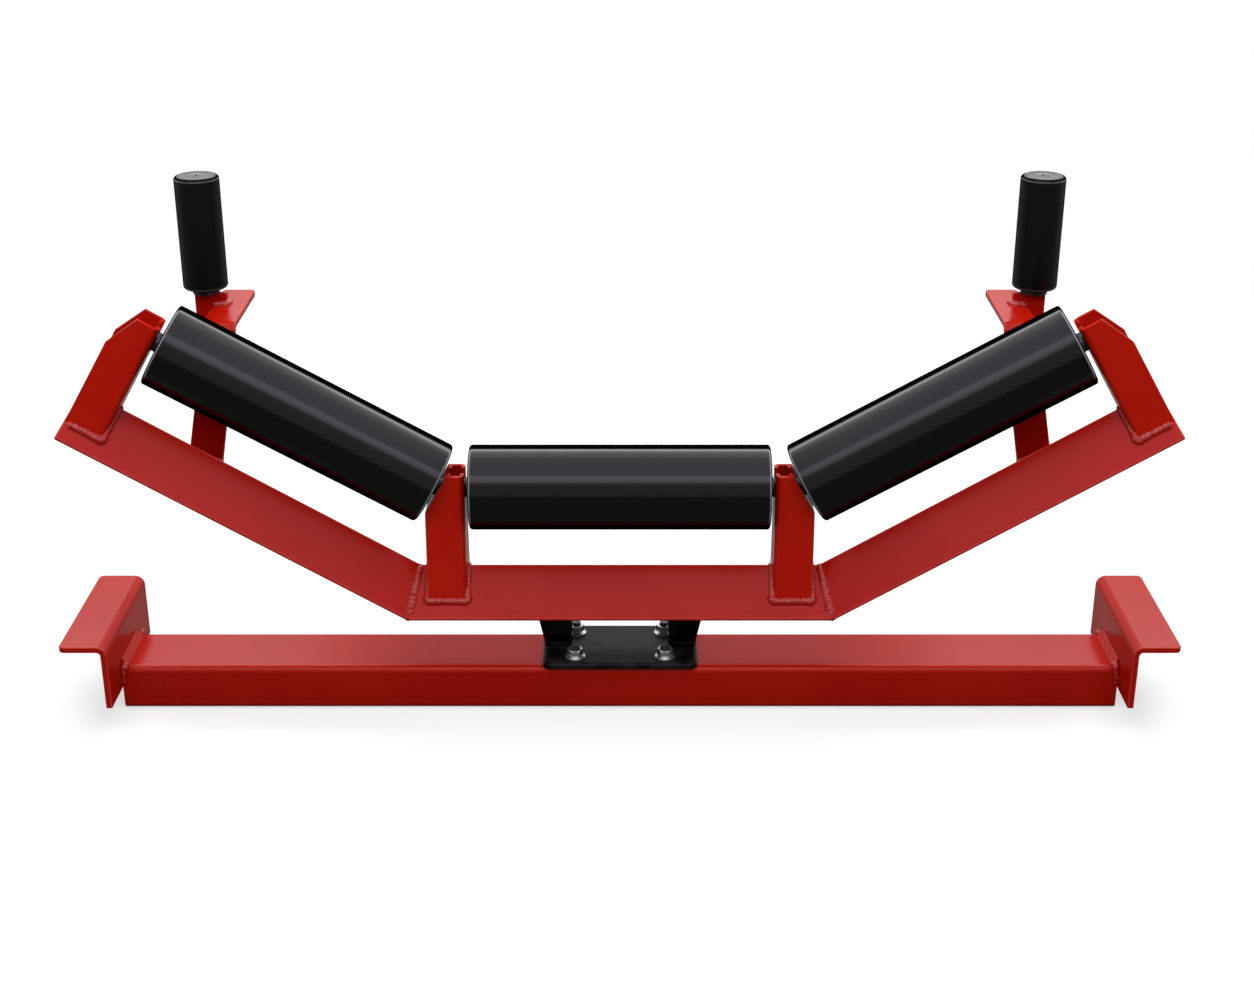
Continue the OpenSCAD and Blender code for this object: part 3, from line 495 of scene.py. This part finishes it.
def shellTree():
    wire, given = startTree("sweptShell", {
        "Radius": "Float", "Wall": "Float", "Length": "Float", "Outer Edge": "Float", "Inner Edge": "Float",
        "Sides": "Int", "Material": "Material"})
    section = wire.make("GeometryNodeCurvePrimitiveQuadrilateral", {"mode": "RECTANGLE"},
                        {"Width": given["Wall"], "Height": given["Length"]})
    place = wire.make("GeometryNodeInputPosition")
    outer = wire.sum("GREATER_THAN", wire.make("ShaderNodeSeparateXYZ", {}, {"Vector": place}, out="X"), 0.0)
    rounding = given["Inner Edge"] + outer * (given["Outer Edge"] - given["Inner Edge"])
    section = wire.make("GeometryNodeFilletCurve", {"mode": "POLY"}, {
        "Curve": section, "Count": shellShape["edgeSteps"], "Radius": rounding, "Limit Radius": False})
    circle = wire.make("GeometryNodeCurvePrimitiveCircle", {"mode": "RADIUS"},
                       {"Resolution": given["Sides"], "Radius": given["Radius"] - given["Wall"] / 2})
    swept = wire.make("GeometryNodeCurveToMesh", {}, {"Curve": circle, "Profile Curve": section})
    return closeTree(wire, swept, given["Material"])


def rollerSize(node, axis):
    # centre, radius and length of a roller, out of its box and the lean of its axis
    low, high = (Vector(corner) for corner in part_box(node))
    radius = (high.y - low.y) / 2
    along = max(range(3), key=lambda i: abs(axis[i]))
    lean = math.sqrt(max(0.0, 1 - axis[along] ** 2))
    return (low + high) / 2, radius, (high[along] - low[along] - 2 * radius * lean) / abs(axis[along])


sweptShell = shellTree()
for node, shape in shells.items():
    axis = Vector(axisOf(shape["joint"]))
    centre, radius, length = rollerSize(node, axis)
    shell = grow(node + "Swept", sweptShell, {
        "Radius": radius, "Wall": shape["wall"], "Length": length, "Outer Edge": shape["edge"],
        "Inner Edge": shellShape["innerEdge"], "Sides": shellShape["sides"],
        "Material": finishes[shape["finish"]]})
    shell.data.transform(Matrix.Translation(centre) @ axis.to_track_quat("Z", "Y").to_matrix().to_4x4())
    shell = evenNormals(smoothed(shell))
    finishPiece(shell, bodyOf[node], slotOf[node], finishes[shape["finish"]], node)
print("shells swept:", len(shells))


# guide roller caps: a disc with a dimple, a shallow groove and a rounded rim, turned about its axis

capShape = {"dimple": 0.0019, "deep": 0.0026, "flat": 0.0205, "groove": 0.0007, "slope": 0.0006, "grooveWide": 0.0014,
            "step": 0.0001, "rim": 0.0014, "rimSteps": 5, "clear": 0.00005, "smoothAngle": 40.0,
            "depthShare": 0.7, "floorShare": 0.85, "lipShare": 1.25}


def turned(name, profile, sides=96):
    # profile runs from pole to pole, as (distance from the axis, height) pairs
    work = bmesh.new()
    rings = []
    for away, height in profile:
        if away == 0.0:
            rings.append([work.verts.new((0, 0, height))])
        else:
            rings.append([work.verts.new((away * math.cos(2 * math.pi * i / sides),
                                          away * math.sin(2 * math.pi * i / sides), height)) for i in range(sides)])
    for lower, upper in zip(rings, rings[1:]):
        for i in range(sides):
            j = (i + 1) % sides
            corners = [lower[i % len(lower)], lower[j % len(lower)], upper[j % len(upper)], upper[i % len(upper)]]
            work.faces.new(list(dict.fromkeys(corners)))
    return facedOutwards(pieceFromMesh(name, meshFromWork(name, work)))


def capProfile(outer, thick, shape=capShape):
    # from the middle of the dimple over the groove and the rim to the middle of the underside
    deep, dimple = min(shape["deep"], thick * shape["depthShare"]), shape["dimple"]
    flat, step = shape["flat"], shape["step"]
    slope, groove, wide, rim = shape["slope"], shape["groove"], shape["grooveWide"], shape["rim"]
    profile = [(0.0, -deep), (dimple * shape["floorShare"], -deep), (dimple, -3 * step),
               (dimple * shape["lipShare"], 0.0),
               (flat - slope, 0.0), (flat, -2 * step), (flat + slope, -groove), (flat + wide, -groove),
               (flat + wide + slope, -2 * step), (flat + 2 * wide + 2 * step, -step)]
    for i in range(shape["rimSteps"] + 1):
        turn = math.radians(90 * i / shape["rimSteps"])
        profile.append((outer - rim * (1 - math.sin(turn)), -rim * (1 - math.cos(turn)) - step))
    return profile + [(outer, -thick), (0.0, -thick)]


for node in ("guide_left_cap", "guide_right_cap"):
    low, high = (Vector(corner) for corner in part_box(node))
    cap = turned(node + "Turned", capProfile((high.x - low.x) / 2 - capShape["clear"], high.z - low.z))
    cap.data.transform(Matrix.Translation(((low.x + high.x) / 2, (low.y + high.y) / 2, high.z)))
    smoothed(cap, capShape["smoothAngle"])
    finishPiece(cap, bodyOf[node], slotOf[node], finishOf(node), node)
print("guide caps turned")


# weld beads: a rippled round swept along each seam, with rounded corners and ends

beadShape = {"sides": 16, "cornerSteps": 5, "tip": 0.3, "waverScale": 160.0, "waverShift": 0.0016,
             "lumpScale": 330.0, "lumpHeight": 0.0046, "lumpSeed": 7.0, "smoothAngle": 70.0}


def beadTree(shape=beadShape):
    wire, given = startTree("weldBead", {
        "Geometry": "Geometry", "Step": "Float", "Pitch": "Float", "Ripple": "Float", "Wander": "Float",
        "Corner": "Float", "Seed": "Float", "Material": "Material"})
    path = wire.make("GeometryNodeMeshToCurve", {}, {"Mesh": given["Geometry"]})
    path = wire.make("GeometryNodeFilletCurve", {"mode": "POLY"}, {
        "Curve": path, "Count": shape["cornerSteps"], "Radius": given["Corner"], "Limit Radius": True})
    path = wire.make("GeometryNodeResampleCurve", {"mode": "LENGTH"}, {"Curve": path, "Length": given["Step"]})
    wide = wire.make("GeometryNodeInputNamedAttribute", {"data_type": "FLOAT"}, {"Name": "beadRadius"})
    so = wire.make("GeometryNodeSplineParameter", out="Length")
    whole = wire.make("GeometryNodeSplineLength", out="Length")
    closed = wire.make("GeometryNodeInputSplineCyclic")
    # an open run narrows over its last radius, and a closed one has no ends
    left = wire.sum("MINIMUM", so, whole - so) / wide + 4.0 * closed
    ends = wire.sum("MAXIMUM", wire.sum("MINIMUM", left, 1.0) ** 0.5, shape["tip"])
    place = wire.make("GeometryNodeInputPosition")
    waver = wire.make("ShaderNodeTexNoise", {"noise_dimensions": "4D"},
                      {"Vector": place, "W": given["Seed"], "Scale": shape["waverScale"], "Detail": 2.0})
    ripple = wire.sum("SINE", (so + waver * shape["waverShift"]) * (2 * math.pi) / given["Pitch"])
    radius = wide * ends * (1.0 + ripple * given["Ripple"] + (waver - 0.5) * given["Wander"])
    ring = wire.make("GeometryNodeCurvePrimitiveCircle", {"mode": "RADIUS"},
                     {"Resolution": shape["sides"], "Radius": 1.0})
    bead = wire.make("GeometryNodeCurveToMesh", {}, {"Curve": path, "Profile Curve": ring, "Scale": radius,
                                                     "Fill Caps": True})
    lump = wire.make("ShaderNodeTexNoise", {"noise_dimensions": "4D"},
                     {"Vector": wire.make("GeometryNodeInputPosition"), "W": given["Seed"] + shape["lumpSeed"],
                      "Scale": shape["lumpScale"], "Detail": 3.0})
    push = wire.make("ShaderNodeVectorMath", {"operation": "SCALE"},
                     {0: wire.make("GeometryNodeInputNormal"), "Scale": (lump - 0.5) * shape["lumpHeight"]})
    bead = wire.make("GeometryNodeSetPosition", {}, {"Geometry": bead, "Offset": push})
    return closeTree(wire, bead, given["Material"])


def seamMesh(name, runs):
    # each run is a list of (point, radius) pairs, and True where it closes on itself
    points, links, radii = [], [], []
    for run, closes in runs:
        first = len(points)
        points += [tuple(point) for point, radius in run]
        radii += [radius for point, radius in run]
        links += [(first + i, first + i + 1) for i in range(len(run) - 1)]
        if closes:
            links.append((len(points) - 1, first))
    mesh = bpy.data.meshes.new(name)
    mesh.from_pydata(points, links, [])
    mesh.attributes.new("beadRadius", "FLOAT", "POINT").data.foreach_set("value", radii)
    return mesh


seams = {
    "knuckle": (0.227, 0.292), "beamTilt": 30.5, "beamDrop": 0.108, "leg": 0.0530,
    "ridgeBead": 0.0058, "toeBead": 0.0100, "bracketBead": 0.0058, "postBead": 0.0055, "footBead": 0.0050,
    "bracketBase": 0.035, "bracketWide": 0.050, "outerWeb": 0.395, "innerWeb": 0.196, "postReach": 0.019,
    "proud": 0.0006, "toeProud": 0.0008, "postProud": 0.0004, "sunkShare": 0.66, "openEnd": 0.004, "flankIn": 0.007,
    "filletEdge": 0.0014, "filletRise": 0.002, "footBeadRise": 0.002,
    "step": 0.00075, "pitch": 0.0030, "ripple": 0.050, "wander": 0.34, "corner": 0.0035, "toeParts": 6,
    # along the mitre: how far out on the leg, and how much of the way from the ridge's bead to the toe's
    "kink": ((-0.985, 1.0), (-0.93, 1.05), (-0.5, 0.5), (0.0, 0.0), (0.5, 0.5), (0.93, 1.05), (0.985, 1.0)),
    # round a bracket's foot: shares of the bead's radius
    "bracketFoot": {"knob": 1.06, "toeFirst": 0.92, "toeSecond": 0.96, "flank": 0.74, "ridge": 0.60},
    # down the side of the tube: in from its end, in from its side, up from its top, share of the bead's radius
    "tubeSide": ((0.0044, 0.0100, 0.0028, 1.0), (0.0040, 0.0030, 0.0004, 1.06), (0.0022, 0.0006, -0.0080, 0.72)),
    "tubeSideLast": (0.0010, 0.0002, 0.60)}  # in from the end, in from the side, share; it stands by the node's foot
tilt = math.radians(seams["beamTilt"])
knuckleX, knuckleZ = seams["knuckle"]


def onCentre(x, y, z):
    return Vector((x, y, knuckleZ + z))


def onWing(x, y, z):
    return Vector((knuckleX + x * math.cos(tilt) - z * math.sin(tilt), y,
                   knuckleZ + x * math.sin(tilt) + z * math.cos(tilt)))


def kinkRun():
    # over the ridge of the mitre, wider towards both toes, its middle under the skin of the legs
    run = []
    for y, share in seams["kink"]:
        across = y * seams["leg"]
        z = knuckleZ - seams["beamDrop"] - abs(across)
        way = -1.0 if y < 0 else (1.0 if y > 0 else 0.0)
        skin = Vector((-math.sin(tilt), 2 * way, 1 + math.cos(tilt))).normalized()
        radius = seams["ridgeBead"] + (seams["toeBead"] - seams["ridgeBead"]) * share
        seamX = knuckleX + (knuckleZ - z) * math.tan(tilt / 2)
        run.append((Vector((seamX, across, z)) - skin * radius * seams["sunkShare"], radius))
    return run, False


def footRun(place, start, radius):
    # round the foot of a bracket that straddles the ridge; an outer bracket is open on its far side
    low, drop = seams["bracketBase"] + seams["toeProud"], seams["beamDrop"]
    near, far = start - seams["proud"], start + seams["bracketWide"] + seams["proud"]
    flank = low - seams["flankIn"]

    def at(x, y, share):
        return place(x, y, -drop - abs(y) + seams["proud"]), radius * seams["bracketFoot"][share]

    def under(y, first, last):  # along the toe, from knob to knob
        step = (last - first) / seams["toeParts"]
        return [at(first, y, "knob"), at(first + step, y, "toeFirst"),
                at(last - step, y, "toeSecond"), at(last, y, "knob")]

    def over(x, way):  # across the ridge, from flank to flank
        return [at(x, -way * flank, "flank"), at(x, 0.0, "ridge"), at(x, way * flank, "flank")]

    if place is onCentre:
        return under(-low, near, far) + over(far, 1) + under(low, far, near) + over(near, -1), True
    end = far - seams["openEnd"]
    return under(-low, end, near) + over(near, 1) + under(low, near, end), False


def postRun():
    low, high = (Vector(corner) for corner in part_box("guide_post_right"))
    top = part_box("guide_arm_right")[1][2]
    inner, outer = low.x - seams["postProud"], low.x + seams["postReach"]
    front, back = low.y - seams["postProud"], high.y + seams["postProud"]
    path = ((outer, front), (inner, front), (inner, back), (outer, back))
    return [(Vector((x, y, top)), seams["postBead"]) for x, y in path], False


def footBeads():
    # narrow beads down the sides of the tube, which end in a lump at the fillet on top
    end = Vector(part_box("cross_tube")[1])
    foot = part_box("foot_welds")[0][2] + seams["footBeadRise"]
    runs = []
    for side in (-1, 1):
        run = [(Vector((end.x - x, side * (end.y - y), end.z + z)), seams["footBead"] * share)
               for x, y, z, share in seams["tubeSide"]]
        x, y, share = seams["tubeSideLast"]
        run.append((Vector((end.x - x, side * (end.y - y), foot)), seams["footBead"] * share))
        runs.append((run, False))
    return runs


def topFillets():
    # the broad flat fillets on top of the tube, out of the part's own weld node
    work = bmesh.new()
    work.from_mesh(mergedCopy("foot_welds"))
    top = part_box("cross_tube")[1][2]
    reached, loose = set(), []
    for start in work.verts:
        if start in reached:
            continue
        island, queue = [], [start]
        while queue:
            vertex = queue.pop()
            if vertex in reached:
                continue
            reached.add(vertex)
            island.append(vertex)
            queue += [edge.other_vert(vertex) for edge in vertex.link_edges]
        if max(vertex.co.z for vertex in island) < top + seams["filletRise"]:
            loose += island
    bmesh.ops.delete(work, geom=loose, context="VERTS")
    return meshFromWork("topFilletsMerged", work)


def bothSides(runs):
    return runs + [([(Vector((-p.x, p.y, p.z)), radius) for p, radius in run], closes) for run, closes in runs]


weldBead = beadTree()
weldSets = {
    "kinkBeads": {"runs": [kinkRun()], "seed": 3.0, "body": "trough_frame", "stands": ["kink_welds"]},
    "bracketBeads": {"runs": [footRun(onCentre, seams["innerWeb"], seams["bracketBead"]),
                              footRun(onWing, seams["outerWeb"], seams["bracketBead"])],
                     "seed": 11.0, "body": "trough_frame", "stands": ["bracket_welds"]},
    "postBeads": {"runs": [postRun()], "seed": 19.0, "body": "trough_frame", "stands": ["guide_welds"]},
    "footBeads": {"runs": footBeads(), "seed": 27.0, "body": bodyOf["foot_welds"], "stands": []}}
for name, weld in weldSets.items():
    bead = grow(name, weldBead, {
        "Step": seams["step"], "Pitch": seams["pitch"], "Ripple": seams["ripple"], "Wander": seams["wander"],
        "Corner": seams["corner"], "Seed": weld["seed"], "Material": finishes["weldedPaint"]},
        seamMesh(name + "Seams", bothSides(weld["runs"])))
    smoothed(bead, beadShape["smoothAngle"])
    finishPiece(bead, weld["body"], "red_paint", finishes["weldedPaint"], *weld["stands"])
softenEdges("foot_welds", seams["filletEdge"], topFillets())
print("weld beads laid:", len(weldSets))


# pedestal bolts: head, shank and a helical thread, set on four points

bolt = {"shank": 0.0059, "head": 0.0072, "pitch": 0.00175, "threadStart": 0.012, "headSink": 0.0075, "inset": 0.0129}
# shares of the pitch: how deep the shank and the thread's core lie, the ridge's radius, the blank tip
threadShape = {"shank": 0.42, "core": 0.40, "ridge": 0.36, "blank": 0.7, "sides": 32, "ridgeSides": 4}


def boltTree(shape=threadShape):
    wire, given = startTree("threadedBolt", {
        "Geometry": "Geometry", "Shank": "Float", "Reach": "Float", "Head": "Float", "Pitch": "Float",
        "Thread Start": "Float", "Material": "Material"})

    def shifted(geometry, height):
        upwards = wire.make("ShaderNodeCombineXYZ", {}, {"Z": height})
        return wire.make("GeometryNodeTransform", {}, {"Geometry": geometry, "Translation": upwards})

    def cylinder(sides, radius, depth):
        return wire.make("GeometryNodeMeshCylinder", {"fill_type": "NGON"},
                         {"Vertices": sides, "Radius": radius, "Depth": depth}, out="Mesh")

    shank = cylinder(shape["sides"], given["Shank"] - given["Pitch"] * shape["shank"], given["Reach"])
    shank = shifted(shank, given["Reach"] / 2)
    head = shifted(cylinder(6, given["Shank"] * math.sqrt(3), given["Head"]), given["Head"] * -0.5)
    threaded = given["Reach"] - given["Thread Start"] - given["Pitch"] * shape["blank"]
    core = given["Shank"] - given["Pitch"] * shape["core"]
    helix = wire.make("GeometryNodeCurveSpiral", {}, {
        "Resolution": shape["sides"], "Rotations": threaded / given["Pitch"], "Start Radius": core,
        "End Radius": core, "Height": threaded})
    ridge = wire.make("GeometryNodeCurvePrimitiveCircle", {"mode": "RADIUS"},
                      {"Resolution": shape["ridgeSides"], "Radius": given["Pitch"] * shape["ridge"]})
    thread = wire.make("GeometryNodeCurveToMesh", {}, {"Curve": helix, "Profile Curve": ridge, "Fill Caps": True})
    thread = shifted(thread, given["Thread Start"])
    whole = wire.make("GeometryNodeJoinGeometry")
    for part in (shank, head, thread):
        wire.tree.links.new(part.socket, whole.socket.node.inputs["Geometry"])
    spots = wire.make("GeometryNodeMeshToPoints", {"mode": "VERTICES"}, {"Mesh": given["Geometry"]})
    placed = wire.make("GeometryNodeInstanceOnPoints", {}, {"Points": spots, "Instance": whole})
    return closeTree(wire, placed, given["Material"])


boltLow, boltHigh = (Vector(corner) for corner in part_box("pedestal_bolts"))
nutHigh = Vector(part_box("pedestal_nuts")[1])
seat = boltLow.z + bolt["headSink"]
spotX, spotY = nutHigh.x - bolt["inset"], nutHigh.y - bolt["inset"]
boltSpots = bpy.data.meshes.new("boltSpots")
boltSpots.from_pydata([(x * spotX, y * spotY, seat) for x in (-1, 1) for y in (-1, 1)], [], [])
bolts = grow("pedestalBoltsThreaded", boltTree(), {
    "Shank": bolt["shank"], "Reach": boltHigh.z - seat, "Head": bolt["head"], "Pitch": bolt["pitch"],
    "Thread Start": bolt["threadStart"], "Material": finishes["darkThread"]}, boltSpots)
smoothed(bolts)
finishPiece(bolts, bodyOf["pedestal_bolts"], slotOf["pedestal_bolts"], finishes["darkThread"], "pedestal_bolts")
print("bolts threaded")


# the casting: corners run into each other as they leave the mould

casting = {"voxel": 0.0017, "smooth": 0.5, "passes": 7, "smoothAngle": 60.0}
pedestal = pieceFromMesh("pedestalCast", mergedCopy("pivot_pedestal"))
mould = pedestal.modifiers.new("mould", "REMESH")
mould.mode, mould.voxel_size, mould.use_smooth_shade = "VOXEL", casting["voxel"], True
ease = pedestal.modifiers.new("ease", "SMOOTH")
ease.factor, ease.iterations = casting["smooth"], casting["passes"]
pedestal = smoothed(frozen(pedestal), casting["smoothAngle"])
finishPiece(pedestal, bodyOf["pivot_pedestal"], slotOf["pivot_pedestal"], finishes["cast_black"], "pivot_pedestal")
print("pedestal cast:", len(pedestal.data.polygons), "faces")

# the CAD nodes that stay take their finish here
for node, piece in cadNodes.items():
    if piece.hide_render:
        continue
    piece.data.materials.clear()
    piece.data.materials.append(finishOf(node))
print("finishes on the remaining nodes")


# the studio: camera, floor, world and lamps

studio = {
    "camera": (0.009, -2.2298, 1.2285), "tilt": 66.77, "lens": 54.74, "sensor": 36.0, "skyLight": 0.26,
    "floorSize": 60.0, "floorGap": 0.0004, "floorColour": (0.42, 0.455, 0.405, 1),
    "floorBounce": (0.20, 0.212, 0.195, 1), "floorLift": 0.545, "speckScale": 300.0, "speckShare": 0.03, "speck": 0.8,
    "seenGlow": (1.1, 2.6), "mirroredGlow": (3.0, 7.0)}
cool, white = (0.90, 0.86, 1.0), (1, 1, 1)
softboxes = {
    "overhead": {"place": (0, -0.75, 2.7), "aim": (0, -0.75, 0), "size": (3.2, 3.3), "power": 68.0, "colour": cool},
    "front": {"place": (0, -2.35, 2.45), "aim": (0, 0, 0.3), "size": (3.6, 1.0), "power": 48.0, "colour": cool},
    "behind": {"place": (0, 1.71, 2.45), "aim": (0, 0, 0.3), "size": (3.2, 1.84), "power": 42.0, "colour": white},
    "rollLine": {"place": (0, 1.80, 1.70), "aim": (0, 0, 0.35), "size": (3.0, 0.40), "power": 20.0, "colour": white},
    "lowLeft": {"place": (-1.75, 3.1, 1.95), "aim": (0, 0, 0.3), "size": (1.7, 0.3), "power": 5.0, "colour": white},
    "lowRight": {"place": (1.75, 3.1, 1.95), "aim": (0, 0, 0.3), "size": (1.7, 0.3), "power": 5.0, "colour": white},
    "leftSide": {"place": (-3.1, 0.5, 0.9), "aim": (0, 0, 0.4), "size": (1.2, 0.6), "power": 10.0, "colour": white},
    "rightSide": {"place": (3.1, 0.5, 0.9), "aim": (0, 0, 0.4), "size": (1.2, 0.6), "power": 10.0, "colour": white}}

cameraData = bpy.data.cameras.new("camera")
cameraData.lens, cameraData.sensor_width = studio["lens"], studio["sensor"]
camera = bpy.data.objects.new("camera", cameraData)
camera.location = studio["camera"]
camera.rotation_euler = (math.radians(studio["tilt"]), 0, 0)
bpy.context.scene.collection.objects.link(camera)
bpy.context.scene.camera = camera


def floorFinish():
    # near the object the floor is matt, lifted to white for the camera, and keeps the shadow; further off it glows
    material, wire, place = newFinish("paleFloor")
    speck = noise(wire, place, studio["speckScale"], 2.0)
    away = wire.make("ShaderNodeVectorMath", {"operation": "LENGTH"}, {0: place}, out="Value")
    path = wire.make("ShaderNodeLightPath", out="Is Camera Ray")
    shade = blendColours(wire, path, studio["floorBounce"], studio["floorColour"])
    shade = blendColours(wire, speck * studio["speckShare"], shade, grey(studio["speck"]))
    matt = wire.make("ShaderNodeBsdfDiffuse", {}, {"Color": shade})
    lift = wire.make("ShaderNodeEmission", {}, {"Color": grey(1.0), "Strength": studio["floorLift"]})
    near = wire.make("ShaderNodeAddShader", {}, {0: matt, 1: lift})
    glow = wire.make("ShaderNodeEmission", {}, {"Color": grey(1.0), "Strength": 1.0})
    mirrored = path.sum("MAXIMUM", path.side("Is Glossy Ray"), path.side("Is Transmission Ray"))
    lifted = wire.make("ShaderNodeMixShader", {}, {0: path, 1: matt, 2: near})
    share = path.sum("MAXIMUM", path * fade(wire, away, *studio["seenGlow"]),
                     mirrored * fade(wire, away, *studio["mirroredGlow"]))
    closeFinish(wire, wire.make("ShaderNodeMixShader", {}, {0: share, 1: lifted, 2: glow}))
    return material


half = studio["floorSize"] / 2
floorMesh = bpy.data.meshes.new("floor")
floorMesh.from_pydata([(-half, -half, 0), (half, -half, 0), (half, half, 0), (-half, half, 0)], [], [(0, 1, 2, 3)])
floor = pieceFromMesh("floor", floorMesh)
floor.location.z = cadBox[0].z - studio["floorGap"]
floorMesh.materials.append(floorFinish())

# the world is white to the camera, to metal and to glass, and dim to everything else
world = bpy.data.worlds.new("studio")
bpy.context.scene.world = world
world.use_nodes = True
world.node_tree.nodes.clear()
sky = Wire(world.node_tree)
dim = sky.make("ShaderNodeBackground", {}, {"Color": grey(1.0), "Strength": studio["skyLight"]})
bright = sky.make("ShaderNodeBackground", {}, {"Color": grey(1.0), "Strength": 1.0})
path = sky.make("ShaderNodeLightPath", out="Is Camera Ray")
seen = path.sum("MAXIMUM", path, path.side("Is Glossy Ray"))
seen = path.sum("MAXIMUM", seen, path.side("Is Transmission Ray"))
mixed = sky.make("ShaderNodeMixShader", {}, {0: seen, 1: dim, 2: bright})
sky.make("ShaderNodeOutputWorld", {}, {"Surface": mixed})

for name, box in softboxes.items():
    data = bpy.data.lights.new(name, "AREA")
    data.shape, data.energy, data.color = "RECTANGLE", box["power"], box["colour"]
    data.size, data.size_y = box["size"]
    lamp = bpy.data.objects.new(name, data)
    lamp.location = box["place"]
    lamp.rotation_euler = (Vector(box["aim"]) - Vector(box["place"])).to_track_quat("-Z", "Y").to_euler()
    bpy.context.scene.collection.objects.link(lamp)
print("studio ready:", len(softboxes), "lamps")

bpy.context.scene.view_settings.view_transform = "Standard"
